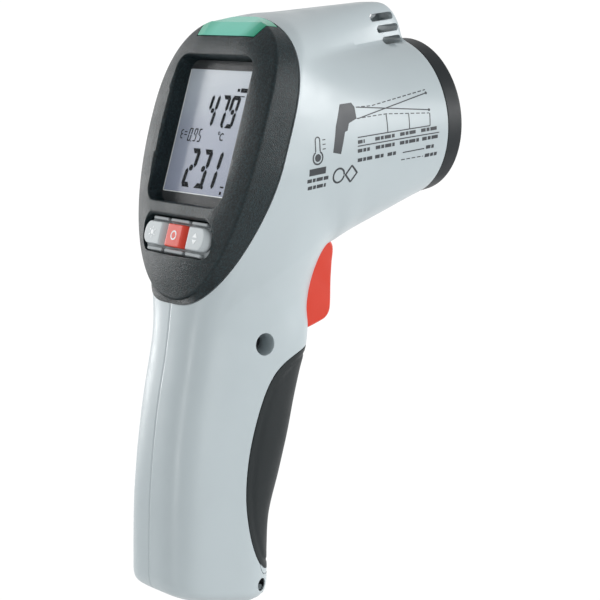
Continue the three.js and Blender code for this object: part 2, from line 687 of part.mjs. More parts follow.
const opticsTube = () =>
  lathe(
    [
      [TUBE.bore, -5.9],
      [TUBE.outer, -5.9],
      [TUBE.outer, TUBE.rear],
      [TUBE.bore, TUBE.rear],
      [TUBE.bore, -5.9],
    ],
    28,
  );
const infraredLens = () =>
  lathe(
    [
      [0, -8.2],
      [4.5, -8.5],
      [8.3, -9.4],
      [8.3, -10.8],
      [0, -10.8],
    ],
    28,
  );
const thermopileSensor = () => rod('y', 4.6, -45.9, -41.5, [0, 0], noseFrame, 24);
const sensorBoard = () => box([-12, -47.8, -11], [12, -46.2, 11]);
const laserModule = (side) => rod('y', 3.2, -22, -5.9, [0, side * LASER_HEIGHT], noseFrame, 18);
const humidityBoard = () => box([-0.5, -44, 27], [0.5, -25, 34]);
const humiditySensor = () => box([-1.5, -24.7, 28], [1.5, -22.4, 31.5]);

// ---- Trigger and switch ----
const TRIGGER_OUTLINE = [
  [-50, -27.4],
  [-46.6, -29.2],
  [-43.4, -32.6],
  [-41.0, -36.6],
  [-41.9, -42],
  [-42.8, -47.5],
  [-43.5, -53.5],
  [-44.2, -57],
  [-45.8, -59],
  [-48, -59.9],
  [-54, -61.2],
  [-56.6, -60.4],
  [-57.6, -56],
  [-57.4, -50],
  [-56.6, -43],
  [-57.4, -38],
  [-66.6, -37.6],
  [-66.6, -34],
  [-57, -33.4],
  [-53.4, -29.4],
];

function trigger() {
  const pin = [TRIGGER_PIVOT.y, TRIGGER_PIVOT.z];
  const blade = sidePlate(TRIGGER_OUTLINE, -TRIGGER_HALF_WIDTH, TRIGGER_HALF_WIDTH);
  return cut(blade, rod('x', PIN_RADIUS + 0.12, -FAR, FAR, pin, noseFrame, 16));
}

const triggerPin = () => rod('x', PIN_RADIUS, -9, 9, [TRIGGER_PIVOT.y, TRIGGER_PIVOT.z], noseFrame, 16);
const SPRING = { y: -64, bottom: -33.7, top: -22.7, radius: 2.4, wire: 0.4, turns: 5 };

function triggerSpring() {
  const steps = SPRING.turns * 10;
  const low = SPRING.bottom + SPRING.wire;
  const rise = SPRING.top - SPRING.wire - low;
  const points = Array.from({ length: steps + 1 }, (_, step) => {
    const angle = (2 * Math.PI * SPRING.turns * step) / steps;
    const height = low + rise * (step / steps);
    return [SPRING.radius * Math.cos(angle), SPRING.y + SPRING.radius * Math.sin(angle), height];
  });
  return wire(points, SPRING.wire, steps, 6);
}

const SWITCH_LEVEL = -50;
const switchRod = (radius, from, to) => rod('y', radius, from, to, [0, SWITCH_LEVEL], noseFrame, 14);
const switchBody = () => cut(box([-3.2, -75, -54.8], [3.2, -64.4, -45]), switchRod(1.5, -70.6, -60));
const switchPlunger = () => switchRod(1.2, -67, -57.9);

// ---- Battery and its lead ----
// An outline across the handle, made solid between two heights along it.
function acrossHandle(points, from, to) {
  const shape = new THREE.Shape(points.map(([x, y]) => new THREE.Vector2(x, y)));
  const geometry = new THREE.ExtrudeGeometry(shape, { depth: to - from, bevelEnabled: false });
  return solidOf(geometry.translate(0, 0, from).applyMatrix4(handleFrame));
}

const [halfWidth, halfDepth, halfLength] = [BATTERY.width / 2, BATTERY.depth / 2, BATTERY.length / 2];
const battery = () =>
  acrossHandle(roundedOutline(-halfWidth, halfWidth, -halfDepth, halfDepth, 2.2, 3), -halfLength, halfLength);
const batterySnap = () =>
  acrossHandle(roundedOutline(-halfWidth, halfWidth, -7.8, 7.8, 2, 3), halfLength + GAP, halfLength + 4.6);

const batteryLead = (x) =>
  wire(
    [
      [x, -82.6, -70.2],
      [x, -85.6, -65.5],
      [x, -87.4, -58],
      [x, -87.6, -50],
      [x, -86.6, -42.2],
    ],
    0.8,
    14,
    6,
  );

const handleScrew = () =>
  join(
    rod('x', 3.0, 8.8, 10.8, [SCREW.y, SCREW.z], noseFrame, 20),
    rod('x', 1.45, -9.5, 9, [SCREW.y, SCREW.z], noseFrame, 14),
  );

// ---- The object ----
const PIECES = [
  ['right_housing', () => housingHalf(1), LOOKS.housing],
  ['left_housing', () => housingHalf(-1), LOOKS.housing],
  ['display_bezel', displayBezel, LOOKS.bezel],
  ['alarm_light_window', alarmLightWindow, LOOKS.mint],
  ['display_window', displayWindow, LOOKS.glass],
  ['lcd_panel', lcdPanel, LOOKS.liquidCrystal],
  ['lcd_backlight', lcdBacklight, LOOKS.glass],
  ['zebra_strip', zebraStrip, LOOKS.rubber],
  ['main_board', mainBoard, LOOKS.board],
  ['board_screw_left', () => boardScrew(-1), LOOKS.steel],
  ['board_screw_right', () => boardScrew(1), LOOKS.steel],
  ['alarm_led', alarmLed, LOOKS.glass],
  ['buzzer', buzzer, LOOKS.blackPlastic],
  ['keypad_mat', keypadMat, LOOKS.rubber],
  ['key_left', () => key(-1), LOOKS.key],
  ['key_middle', () => key(0), LOOKS.orange],
  ['key_right', () => key(1), LOOKS.key],
  ['nose_ring', noseRing, LOOKS.bezel],
  ['front_plate', frontPlate, LOOKS.blackPlastic],
  ['optics_tube', opticsTube, LOOKS.brass],
  ['infrared_lens', infraredLens, LOOKS.germanium],
  ['thermopile_sensor', thermopileSensor, LOOKS.steel],
  ['sensor_board', sensorBoard, LOOKS.board],
  ['laser_module_upper', () => laserModule(1), LOOKS.brass],
  ['laser_module_lower', () => laserModule(-1), LOOKS.brass],
  ['humidity_board', humidityBoard, LOOKS.board],
  ['humidity_sensor', humiditySensor, LOOKS.blackPlastic],
  ['trigger', trigger, LOOKS.orange],
  ['trigger_pin', triggerPin, LOOKS.steel],
  ['trigger_spring', triggerSpring, LOOKS.steel],
  ['switch_body', switchBody, LOOKS.blackPlastic],
  ['switch_plunger', switchPlunger, LOOKS.red],
  ['battery_door', batteryDoor, LOOKS.blackPlastic],
  ['door_grip', doorGrip, LOOKS.grip],
  ['door_hinge_pin', () => pivotRod(KNUCKLE.pin, KNUCKLE.pinHalf), LOOKS.steel],
  ['battery', battery, LOOKS.battery],
  ['battery_snap', batterySnap, LOOKS.blackPlastic],
  ['battery_lead_red', () => batteryLead(4), LOOKS.red],
  ['battery_lead_black', () => batteryLead(-4), LOOKS.blackPlastic],
  ['handle_screw', handleScrew, LOOKS.steel],
];

const thermometer = new THREE.Group();
for (const [name, build, look] of PIECES) {
  const mesh = new THREE.Mesh(geometryOf(build()), look);
  mesh.name = name;
  thermometer.add(mesh);
}

// The origin is the middle of the flat foot.
const [footFront, footRear] = SECTIONS[LAST_SECTION];
thermometer.position.set(0, -(footFront[0] + footRear[0]) / 2, -(footFront[1] + footRear[1]) / 2);

export default thermometer;
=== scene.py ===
"""Looks of the hand-held infrared thermometer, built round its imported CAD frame.

Shapes are worked out in millimetres in the nose frame of the CAD part: the origin is on the
barrel's axis at the front of the nose ring, +X is the side with the screw recess, +Y forward,
+Z up. finish_piece() turns them into metres in the row frame.
"""
import itertools
import math

import bmesh
import bpy
import numpy as np
from mathutils import Matrix, Vector
from mathutils.bvhtree import BVHTree


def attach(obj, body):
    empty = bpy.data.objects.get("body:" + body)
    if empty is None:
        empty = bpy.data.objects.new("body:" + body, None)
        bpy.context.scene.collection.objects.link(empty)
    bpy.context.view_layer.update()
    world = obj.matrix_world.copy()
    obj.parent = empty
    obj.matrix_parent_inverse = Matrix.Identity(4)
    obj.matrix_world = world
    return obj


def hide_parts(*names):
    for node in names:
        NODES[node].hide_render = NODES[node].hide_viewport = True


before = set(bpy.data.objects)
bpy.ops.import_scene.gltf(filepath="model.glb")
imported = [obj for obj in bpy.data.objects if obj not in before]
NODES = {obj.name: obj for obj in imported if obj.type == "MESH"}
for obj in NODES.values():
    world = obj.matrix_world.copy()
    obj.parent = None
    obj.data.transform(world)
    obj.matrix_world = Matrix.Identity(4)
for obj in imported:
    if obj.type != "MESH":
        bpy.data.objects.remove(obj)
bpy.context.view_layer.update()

# ---------------------------------------------------------------- driving dimensions (mm)
FOOT_CENTRE = (0.0, -98.75, -138.3)
SEAM = 0.03
GAP = 0.3
FAR = 80.0
BELOW_FOOT = -146.0
SIDE_REACH = 40.0  # beyond the widest part of the housing
BARREL_RADIUS = 25.6
CREST_TOP, CREST_HALF_WIDTH = 38.3, 6.0
HEAD_HALF_WIDTH, HANDLE_HALF_WIDTH = 29.6, 16.6
WALL = 2.0
TILT = math.radians(22)
DISPLAY = np.array([0.0, -79.9, 4.6])
DISPLAY_UP = np.array([0.0, math.sin(TILT), math.cos(TILT)])
DISPLAY_OUT = np.array([0.0, -math.cos(TILT), math.sin(TILT)])
BEZEL = {"half": 30.6, "centre": 2.0, "top": 34.0, "bottom": 56.5}
RIM_BOTTOM = 54.4  # the rim of the bezel's face ends a little above the joint below it
BOARD_SCREW = (23.6, 3.0)
KEY_ROW, KEY_HALF = -33.4, 3.6
TRIGGER_PIVOT = (-50.0, -31.0)
TRIGGER_HALF_SLOT = 6.7
DOOR_PIVOT = (-81.7, -130.2)
HINGE_BORE, LUG_RADIUS = 1.1, 1.8
SCREW, SCREW_RECESS = (-77.9, -60.1), 3.5
LANYARD = (-85.1, -136.2)
LANYARD_RADIUS, LANYARD_DEPTH, LANYARD_LEG = 2.1, 9.4, 11.2
VENTS = [(-15.8, 33.4, 11.0), (-13.9, 29.6, 10.4), (-12.6, 25.8, 9.0)]  # y, z, length
VENT_HEIGHT = 2.4
BAY_END = 21.3

# Sections: lower (y, z), upper (y, z), widest at, lower roundness, upper roundness.
SECTIONS = np.array([
    [-7, -25.7, -7, 27.5, 0.483, 2.0, 8],
    [-8, -26, -8, 32, 0.448, 2.0, 8],
    [-9.6, -26.4, -9.6, 35.2, 0.429, 2.0, 8],
    [-12.2, -27.1, -12.2, 37.4, 0.42, 2.0, 8],
    [-16, -28.2, -17, 38.2, 0.425, 2.0, 8],
    [-22, -30, -26, 38.3, 0.439, 2.0, 8],
    [-29, -32, -38, 38.3, 0.455, 2.0, 8],
    [-35.5, -34, -50, 38.3, 0.47, 2.0, 8],
    [-41, -35.8, -62, 38.3, 0.483, 2.1, 8],
    [-44.6, -37.3, -74, 34, 0.523, 2.1, 7],
    [-47.3, -40.2, -81, 20, 0.66, 2.2, 6],
    [-49.4, -44.5, -87, 3, 0.7, 2.2, 5],
    [-51.4, -50, -92.5, -14, 0.7, 2.3, 4.5],
    [-52.8, -55, -97, -30, 0.65, 2.4, 4],
    [-53.4, -60, -100.3, -46, 0.55, 2.5, 3.7],
    [-55.2, -66, -102.3, -55, 0.5, 2.6, 3.6],
    [-58.6, -73, -104.4, -63, 0.5, 2.7, 3.6],
    [-62, -82, -107.1, -72, 0.5, 2.7, 3.6],
    [-65.4, -92, -109.7, -82, 0.5, 2.7, 3.6],
    [-70, -103.5, -112, -92.5, 0.5, 2.7, 3.6],
    [-75.1, -115.5, -114.1, -104.5, 0.5, 2.7, 3.6],
    [-77, -126, -115.6, -116, 0.5, 2.7, 3.6],
    [-77.7, -133.5, -116.6, -125, 0.5, 2.7, 3.6],
    [-78.6, -138.5, -116.9, -129, 0.5, 2.7, 3.6],
    [-80.8, -141.3, -116, -131.9, 0.5, 2.8, 3.6],
    [-84.5, -142.4, -113, -134.2, 0.5, 2.8, 3.6],
])
LAST = len(SECTIONS) - 1
DOOR_EDGE = np.array([
    [-52, -65.2], [-61, -65.4], [-70.4, -67.7], [-76.8, -72.5], [-82.3, -81.7], [-87.1, -94.3],
    [-89.4, -107.5], [-88.5, -120.3], [-85.2, -129.2], [-80.5, -132.4], [-72, -132.7],
])
DOOR_FRONT = -40.0
DOOR_SECTIONS, DOOR_CORE_SECTIONS = (13, 24), (12.5, 24.5)


# ---------------------------------------------------------------- the form's mathematics
def catmull(keys, at, mirrored_ends=True):
    """Catmull-Rom curve through keys; at counts keys, so 1.5 is halfway from key 1 to key 2."""
    at = np.atleast_1d(np.asarray(at, float))
    index = np.clip(np.floor(at).astype(int), 0, len(keys) - 2)
    w = (at - index)[:, None]
    first = 2 * keys[0] - keys[1] if mirrored_ends else keys[0]
    last = 2 * keys[-1] - keys[-2] if mirrored_ends else keys[-1]
    ext = np.vstack([first, keys, last])
    p0, p1, p2, p3 = ext[index], ext[index + 1], ext[index + 2], ext[index + 3]
    t0, t1 = (p2 - p0) / 2, (p3 - p1) / 2
    return p1 + t0 * w + (-3 * p1 + 3 * p2 - 2 * t0 - t1) * w**2 + (2 * p1 - 2 * p2 + t0 + t1) * w**3


def smoothstep(x, low, high):
    t = np.clip((x - low) / (high - low), 0, 1)
    return t * t * (3 - 2 * t)


def rounded(t, power):
    return np.maximum(1 - np.abs(t) ** power, 0) ** (1 / power)


def height_above_glass(y, z):
    return (y - DISPLAY[1]) * DISPLAY_OUT[1] + (z - DISPLAY[2]) * DISPLAY_OUT[2]


def distance_up(y, z):
    return (y - DISPLAY[1]) * DISPLAY_UP[1] + (z - DISPLAY[2]) * DISPLAY_UP[2]


def side_width(y, z):
    """Half the object's width at a point of its side view, before its edges are rounded."""
    towards_bezel = np.clip((height_above_glass(y, z) + 64) / 56, 0, 1) ** 1.6
    blend = np.maximum(towards_bezel, smoothstep(-z, 20, 50))
    barrel = np.where(z > 0, np.sqrt(np.maximum(BARREL_RADIUS**2 - z * z, 0)), BARREL_RADIUS)
    crest = np.where(z > 0, CREST_HALF_WIDTH * rounded(np.maximum(z, 0) / CREST_TOP, 4), 0)
    front = (barrel**4 + crest**4) ** 0.25
    low = HANDLE_HALF_WIDTH + (HEAD_HALF_WIDTH - HANDLE_HALF_WIDTH) * smoothstep(z, -56, -4)
    high = HEAD_HALF_WIDTH * rounded(np.maximum(z - 4, 0) / 34.8, 2.8)
    return front + (np.where(z > 4, high, low) - front) * blend


def surface_point(at, across, inset=0.0):
    """y, z and half width of section `at`, a fraction `across` of the way up it."""
    at, across, inset = np.broadcast_arrays(*(np.asarray(v, float) for v in (at, across, inset)))
    shape = at.shape
    at, across, inset = at.ravel(), across.ravel(), inset.ravel()
    row = catmull(SECTIONS, at)
    lower, upper = row[:, 0:2], row[:, 2:4]
    widest, low_power, high_power = row[:, 4], row[:, 5], row[:, 6]
    start = inset / np.hypot(*(upper - lower).T)
    along = (start + (1 - 2 * start) * across)[:, None]
    y, z = (lower + (upper - lower) * along).T
    below = across < widest
    t = np.where(below, (widest - across) / widest, (across - widest) / (1 - widest))
    rounding = rounded(t, np.where(below, low_power, high_power))
    foot = 1 - 0.16 * smoothstep(at, LAST - 2.2, LAST) ** 2
    width = side_width(y, z) * rounding * foot
    width = np.where(width > 0, width**2 / np.maximum(width + inset, 1e-9), 0)
    return tuple(v.reshape(shape) for v in (y, z, width))


def joint_level(v):
    t = v - BEZEL["centre"]
    top = -8 + 4.8 * (np.maximum(t, 0) / BEZEL["top"]) ** 3
    return np.where(t > 0, top, -8 + 8.5 * (np.maximum(-t, 0) / BEZEL["bottom"]) ** 3)


def door_edge_points(count=140, margin=0.0):
    at = np.linspace(0, len(DOOR_EDGE) - 1, count)
    points = catmull(DOOR_EDGE, at, mirrored_ends=False)
    along = np.gradient(points, axis=0)
    along /= np.linalg.norm(along, axis=1)[:, None]
    return points + margin * np.stack([along[:, 1], -along[:, 0]], 1)


DOOR_LINE = door_edge_points(70)


def distance_to(points, y, z):
    """Distance in the side view from every (y, z) to a polyline."""
    best = np.full(y.shape, 1e9)
    for (y0, z0), (y1, z1) in zip(points[:-1], points[1:]):
        dy, dz = y1 - y0, z1 - z0
        t = np.clip(((y - y0) * dy + (z - z0) * dz) / (dy * dy + dz * dz), 0, 1)
        best = np.minimum(best, np.hypot(y - y0 - t * dy, z - z0 - t * dz))
    return best


def inside_door(y, z):
    """True where a point of the side view lies in front of the door's edge."""
    edge = np.vstack([DOOR_LINE, [(DOOR_FRONT, DOOR_EDGE[-1][1]), (DOOR_FRONT, DOOR_EDGE[0][1])]])
    inside = np.zeros(y.shape, bool)
    for (y0, z0), (y1, z1) in zip(edge, np.roll(edge, -1, 0)):
        if abs(z1 - z0) > 1e-9:
            crosses = ((z0 > z) != (z1 > z)) & (y < (y1 - y0) * (z - z0) / (z1 - z0) + y0)
            inside ^= crosses
    return inside


def into_grip(y, z):
    """Distance in the side view from the door's edge, positive on the grip's side."""
    return distance_to(DOOR_LINE, y, z) * np.where(inside_door(y, z), 1, -1)


def edge_round(distance, radius):
    """How far a rounded edge of this radius lies below the surface, by distance to the edge."""
    d = np.clip(distance, 0, radius)
    return radius - np.sqrt(np.maximum(radius**2 - (radius - d) ** 2, 0))


# ---------------------------------------------------------------- mesh helpers
def linked(name, data):
    """A new object in the scene round a mesh, a lamp or a camera."""
    obj = bpy.data.objects.new(name, data)
    bpy.context.scene.collection.objects.link(obj)
    return obj


def make_object(name, points, faces):
    mesh = bpy.data.meshes.new(name)
    mesh.from_pydata([tuple(p) for p in points], [], faces)
    mesh.validate()
    return linked(name, mesh)


def display_points(points):
    """[x, v, d] display coordinates to the nose frame."""
    points = np.atleast_2d(np.asarray(points, float))
    flat = np.outer(points[:, 0], [1, 0, 0]) + np.outer(points[:, 1], DISPLAY_UP)
    return DISPLAY + flat + np.outer(points[:, 2], DISPLAY_OUT)


def outward(obj, merged=0.0):
    """Turns every face outwards, after joining points closer together than merged."""
    work = bmesh.new()
    work.from_mesh(obj.data)
    if merged:
        bmesh.ops.remove_doubles(work, verts=work.verts, dist=merged)
    bmesh.ops.recalc_face_normals(work, faces=work.faces)
    work.to_mesh(obj.data)
    work.free()
    return obj


def bands(rings, count):
    """Quads between pairs of rings of count points each; rings lists the pairs' numbers."""
    faces = []
    for low, high in rings:
        for corner in range(count):
            following = (corner + 1) % count
            faces.append((low * count + corner, low * count + following,
                          high * count + following, high * count + corner))
    return faces


def loft(name, rings):
    """Quads between equally long rings of points, with an n-gon at each end."""
    count = len(rings[0])
    last = len(rings) - 1
    faces = bands([(ring, ring + 1) for ring in range(last)], count)
    faces.append(tuple(range(count))[::-1])
    faces.append(tuple(range(last * count, last * count + count)))
    return outward(make_object(name, np.vstack(rings), faces))


def offset_outline(outline, distance):
    """A closed 2-D outline moved outwards by distance."""
    points = np.asarray(outline, float)
    before, after = np.roll(points, 1, 0), np.roll(points, -1, 0)
    e0, e1 = points - before, after - points
    e0 /= np.maximum(np.linalg.norm(e0, axis=1)[:, None], 1e-9)
    e1 /= np.maximum(np.linalg.norm(e1, axis=1)[:, None], 1e-9)
    n0 = np.stack([e0[:, 1], -e0[:, 0]], 1)
    n1 = np.stack([e1[:, 1], -e1[:, 0]], 1)
    middle = n0 + n1
    middle /= np.maximum((middle * n0).sum(1)[:, None], 0.3)
    area = 0.5 * np.sum(points[:, 0] * after[:, 1] - after[:, 0] * points[:, 1])
    return points + middle * distance * (1 if area > 0 else -1)


def circle(x, v, radius, sides):
    turns = [2 * math.pi * side / sides for side in range(sides)]
    return [(x + radius * math.cos(turn), v + radius * math.sin(turn)) for turn in turns]


def on_side(side, near, far):
    """The low and the high end of a span across the object, on its left (-1) or right (1) side."""
    return sorted((side * near, side * far))


def rectangle(x0, x1, v0, v1):
    return [(x0, v0), (x1, v0), (x1, v1), (x0, v1)]


def turned_bar(centre, angle, start, end, half):
    """A bar of half width half, from start to end along a line through centre at this angle."""
    c, s = math.cos(angle), math.sin(angle)
    return [(centre[0] + along * c - across * s, centre[1] + along * s + across * c)
            for along, across in ((start, half), (start, -half), (end, -half), (end, half))]


def rounded_outline(left, right, bottom, top, radius, steps=6):
    corners = [(right - radius, top - radius, 0), (left + radius, top - radius, 90),
               (left + radius, bottom + radius, 180), (right - radius, bottom + radius, 270)]
    points = []
    for x, v, start in corners:
        for step in range(steps + 1):
            angle = math.radians(start + 90 * step / steps)
            points.append((x + radius * math.cos(angle), v + radius * math.sin(angle)))
    return np.array(points)


def display_loft(name, outline, levels):
    """A plate on the display: levels are (height, how far the outline is grown there)."""
    rings = []
    for height, grown in levels:
        ring = offset_outline(outline, grown) if grown else np.asarray(outline, float)
        rings.append(display_points([(x, v, height) for x, v in ring]))
    return loft(name, rings)


def side_plate(name, outline, low, high):
    rings = [[(x, y, z) for y, z in outline] for x in (low, high)]
    return loft(name, rings)


def box(name, low, high):
    corners = rectangle(low[0], high[0], low[1], high[1])
    return loft(name, [[(x, y, z) for x, y in corners] for z in (low[2], high[2])])


def display_bar(name, outline, levels):
    return loft(name, [display_points([(x, v, level) for x, v in outline]) for level in levels])


def display_rod(name, radius, low, high, x, v):
    return display_bar(name, circle(x, v, radius, 24), (low, high))


def on_axis(axis, at, a, b):
    """The point at a distance along an axis, with a and b as its two other coordinates."""
    return {"x": (at, a, b), "y": (a, at, b), "z": (a, b, at)}[axis]


def rod(name, axis, radius, low, high, centre, sides=40):
    ring = circle(*centre, radius, sides)
    return loft(name, [[on_axis(axis, at, a, b) for a, b in ring] for at in (low, high)])


def turned(name, profile, segments=96, centre=(0.0, 0.0), axis="y"):
    """A piece turned about an axis: profile is a closed loop of (radius, place on the axis)."""
    rings = []
    for step in range(segments):
        angle = 2 * math.pi * step / segments
        c, s = math.cos(angle), math.sin(angle)
        rings.append([on_axis(axis, at, centre[0] + radius * c, centre[1] + radius * s)
                      for radius, at in profile])
    faces = bands([(step, (step + 1) % segments) for step in range(segments)], len(profile))
    return outward(make_object(name, np.vstack(rings), faces), 1e-5)


def rounded_profile(corners, radius, steps=4):
    """A closed profile with its corners rounded off."""
    corners = np.asarray(corners, float)
    points = []
    for index, corner in enumerate(corners):
        before = corners[index - 1] - corner
        after = corners[(index + 1) % len(corners)] - corner
        room = 0.45 * min(np.linalg.norm(before), np.linalg.norm(after))
        reach = min(radius, room)
        start = corner + before / max(np.linalg.norm(before), 1e-9) * reach
        end = corner + after / max(np.linalg.norm(after), 1e-9) * reach
        for step in range(steps + 1):
            t = step / steps
            points.append((1 - t) ** 2 * start + 2 * t * (1 - t) * corner + t * t * end)
    return np.array(points)


def boolean(obj, operation, tools):
    """Applies boolean tools, which are used up."""
    for tool in tools:
        modifier = obj.modifiers.new("cut", "BOOLEAN")
        modifier.operation = operation
        modifier.solver = "MANIFOLD"
        modifier.object = tool
    apply_modifiers(obj)
    for tool in tools:
        bpy.data.objects.remove(tool)
    return obj


def apply_modifiers(obj):
    bpy.context.view_layer.update()
    graph = bpy.context.evaluated_depsgraph_get()
    mesh = bpy.data.meshes.new_from_object(obj.evaluated_get(graph))
    obj.modifiers.clear()
    obj.data = mesh


def smooth(obj, angle=38):
    """Smooth faces, sharp where two faces meet at more than angle degrees."""
    work = bmesh.new()
    work.from_mesh(obj.data)
    bmesh.ops.dissolve_degenerate(work, edges=work.edges, dist=1e-4)
    for face in work.faces:
        face.smooth = True
    for edge in work.edges:
        if len(edge.link_faces) == 2:
            edge.smooth = edge.calc_face_angle(0) < math.radians(angle)
    work.to_mesh(obj.data)
    work.free()


def finish_piece(obj, body, nodes, material, angle=38):
    """Puts a piece in metres in the row frame, on its body."""
    smooth(obj, angle)
    weighted = obj.modifiers.new("weighted_normals", "WEIGHTED_NORMAL")
    weighted.keep_sharp = True
    obj.data.transform(Matrix.Scale(0.001, 4) @ Matrix.Translation(-Vector(FOOT_CENTRE)))
    obj.data.materials.clear()
    obj.data.materials.append(material)
    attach(obj, body)
    if nodes:
        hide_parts(*nodes)
    return obj


# ---------------------------------------------------------------- the body's surface
def ring_fractions(at, per_quarter):
    """Fractions across a section, evenly spread round its outline and closer at the seam."""
    even = np.linspace(0, 1, per_quarter)
    near_seam = np.array([0.004, 0.01, 0.018, 0.03])
    wanted = np.unique(np.concatenate([even, near_seam]))
    row = catmull(SECTIONS, at)[0]
    length = math.hypot(row[2] - row[0], row[3] - row[1])
    widest = row[4]
    probe = np.linspace(0, np.pi / 2, 260)
    quarters = []
    for power, extent in ((row[5], widest), (row[6], 1 - widest)):
        x = 22 * np.sin(probe) ** (2 / power)
        t = np.cos(probe) ** (2 / power)
        steps = np.hypot(np.diff(x), np.diff(t * extent * length))
        travelled = np.concatenate([[0], np.cumsum(steps)])
        quarters.append(np.interp(wanted, travelled / travelled[-1], t) * extent)
    low = widest - quarters[0]
    high = widest + quarters[1][::-1]
    return np.concatenate([low, high[1:]])


def body_form(name, start, end, steps, per_quarter, inset=0.0, relief=None):
    """A closed solid through the sections; relief(x, y, z) is a further inset per point."""
    along = np.linspace(start, end, steps + 1)
    across = np.array([ring_fractions(at, per_quarter) for at in along])
    at = np.repeat(along[:, None], across.shape[1], 1)
    y, z, width = surface_point(at, across, inset)
    if relief is not None:
        y, z, width = surface_point(at, across, inset + relief(width, y, z))
    rings = []
    for row in range(steps + 1):
        right = np.stack([width[row], y[row], z[row]], 1)
        left = right[-2:0:-1] * [-1, 1, 1]
        rings.append(np.vstack([right, left]))
    return loft(name, rings)


def beyond_joint(shift):
    """Everything on the bezel's side of the joint between housing and bezel."""
    low, high = -66, 46
    outline = [(v, float(joint_level(np.array(v))) + shift) for v in np.linspace(low, high, 60)]
    outline += [(high, FAR), (low, FAR)]
    points = [DISPLAY[1:] + DISPLAY_UP[1:] * v + DISPLAY_OUT[1:] * d for v, d in outline]
    return side_plate("beyond_joint", points, -SIDE_REACH, SIDE_REACH)


def door_region(margin):
    """Everything in front of the door's edge, which is moved outwards by margin."""
    edge = door_edge_points(margin=margin)
    outline = list(map(tuple, edge)) + [(DOOR_FRONT, edge[-1][1]), (DOOR_FRONT, edge[0][1])]
    return side_plate("door_region", outline, -SIDE_REACH, SIDE_REACH)


def vent_tool(y, z, length):
    """A slot with round ends right through the housing."""
    half = VENT_HEIGHT / 2
    outline = rounded_outline(y - length / 2, y + length / 2, z - half, z + half, half - 0.01)
    return side_plate("vent", outline, -FAR, FAR)


def housing_relief(x, y, z):
    """A small rounded edge on either side of the seam."""
    return edge_round(np.abs(x) - SEAM, 0.16)


def swing_room():
    """Room round the hinge for the door's lower end, narrowing smoothly towards the sides."""
    half = [(5.65, 4.5), (5.2, 7.5), (4.6, 9.4), (4.0, 10.9), (3.6, 12.2), (3.6, FAR), (0.0, FAR)]
    profile = [(radius, -at) for radius, at in half[::-1]] + half
    return turned("swing", profile, 120, DOOR_PIVOT, "x")


def build_housing():
    outer = body_form("housing", 0, LAST, 330, 42, relief=housing_relief)
    inner = body_form("inner", 1.6, BAY_END, 90, 24, inset=WALL)
    boolean(outer, "DIFFERENCE", [inner])
    bosses = [
        rod("boss", "x", 4.4, -FAR, FAR, SCREW),
        box("seat", (-FAR, -68, -22.4), (FAR, -60, -20.4)),
    ]
    for side in (-1, 1):
        low, high = on_side(side, 7.3, FAR)
        bosses.append(rod("boss", "x", 3.4, low, high, TRIGGER_PIVOT))
    for boss in bosses:
        clip = body_form("clip", 1, 20, 60, 16, inset=0.8)
        boolean(boss, "INTERSECT", [clip])
    boolean(outer, "UNION", bosses)
    tools = [vent_tool(*vent) for vent in VENTS]
    tools += [
        side_plate("slot", [(-60.5, -31.8), (-38.5, -31.8), (-38.5, -62.2), (-60.5, -62.2)],
                   -TRIGGER_HALF_SLOT, TRIGGER_HALF_SLOT),
        rod("bore", "y", 20.7, -13, -5, (0, 0), 96),
        rod("recess", "x", SCREW_RECESS, 8.5, FAR, SCREW, 48),
        rod("hole", "x", 1.7, -11, FAR, SCREW),
        rod("pin", "x", 1.65, -9.2, 9.2, TRIGGER_PIVOT),
        rod("lanyard", "x", LANYARD_RADIUS, LANYARD_DEPTH, FAR, LANYARD),
        rod("lanyard", "z", LANYARD_RADIUS, BELOW_FOOT, LANYARD[1], (LANYARD_LEG, LANYARD[0])),
        door_region(GAP),
        beyond_joint(-0.05),
    ]
    boolean(outer, "DIFFERENCE", tools + [swing_room()])
    lugs = []
    for side in (-1, 1):
        low, high = on_side(side, 3.9, 6.5)
        lugs.append(rod("lug", "x", LUG_RADIUS, low, high, DOOR_PIVOT))
        lugs.append(box("lug", (low, -89, DOOR_PIVOT[1] - LUG_RADIUS),
                        (high, DOOR_PIVOT[0], DOOR_PIVOT[1] + LUG_RADIUS)))
    boolean(outer, "UNION", lugs)
    boolean(outer, "DIFFERENCE", [rod("pin", "x", 1.0, -FAR, FAR, DOOR_PIVOT)])
    return outer


# ---------------------------------------------------------------- the bezel's surface
def turning_point(low, high, test):
    """The values between low and high where test() turns from false to true, per element."""
    low, high = (np.array(v, float) for v in np.broadcast_arrays(low, high))
    for _ in range(34):
        middle = (low + high) / 2
        past = test(middle)
        high = np.where(past, middle, high)
        low = np.where(past, low, middle)
    return high


def behind(y, z):
    """How far a point of the side view is on the bezel's side of the joint."""
    return height_above_glass(y, z) - joint_level(distance_up(y, z))


def joint_outline(count):
    def crossed(at):
        return behind(*surface_point(at, np.ones_like(at))[:2]) > 0

    first = turning_point(np.array([7.5]), np.array([9.0]), crossed)[0]
    last = turning_point(np.array([13.0]), np.array([15.0]), lambda at: ~crossed(at))[0]
    step = np.arange(count)
    at = first + (last - first) * (1 - np.cos(np.pi * (step + 0.2) / (count - 0.6))) / 2
    across = turning_point(np.full(count, 0.4), np.ones(count),
                           lambda share: behind(*surface_point(at, share)[:2]) > 0)
    y, z, width = surface_point(at, across)
    return width, distance_up(y, z)


def bezel_outline(v, scale):
    """The right half of the bezel's outline, scaled about its centre; v is a full-size height."""
    t = v - BEZEL["centre"]
    power = np.where(t > 0, 2.8, 2.15)
    reach = np.where(t > 0, BEZEL["top"], RIM_BOTTOM)
    x = BEZEL["half"] * rounded(np.clip(t / reach, -1, 1), power)
    return x * scale, BEZEL["centre"] + t * scale


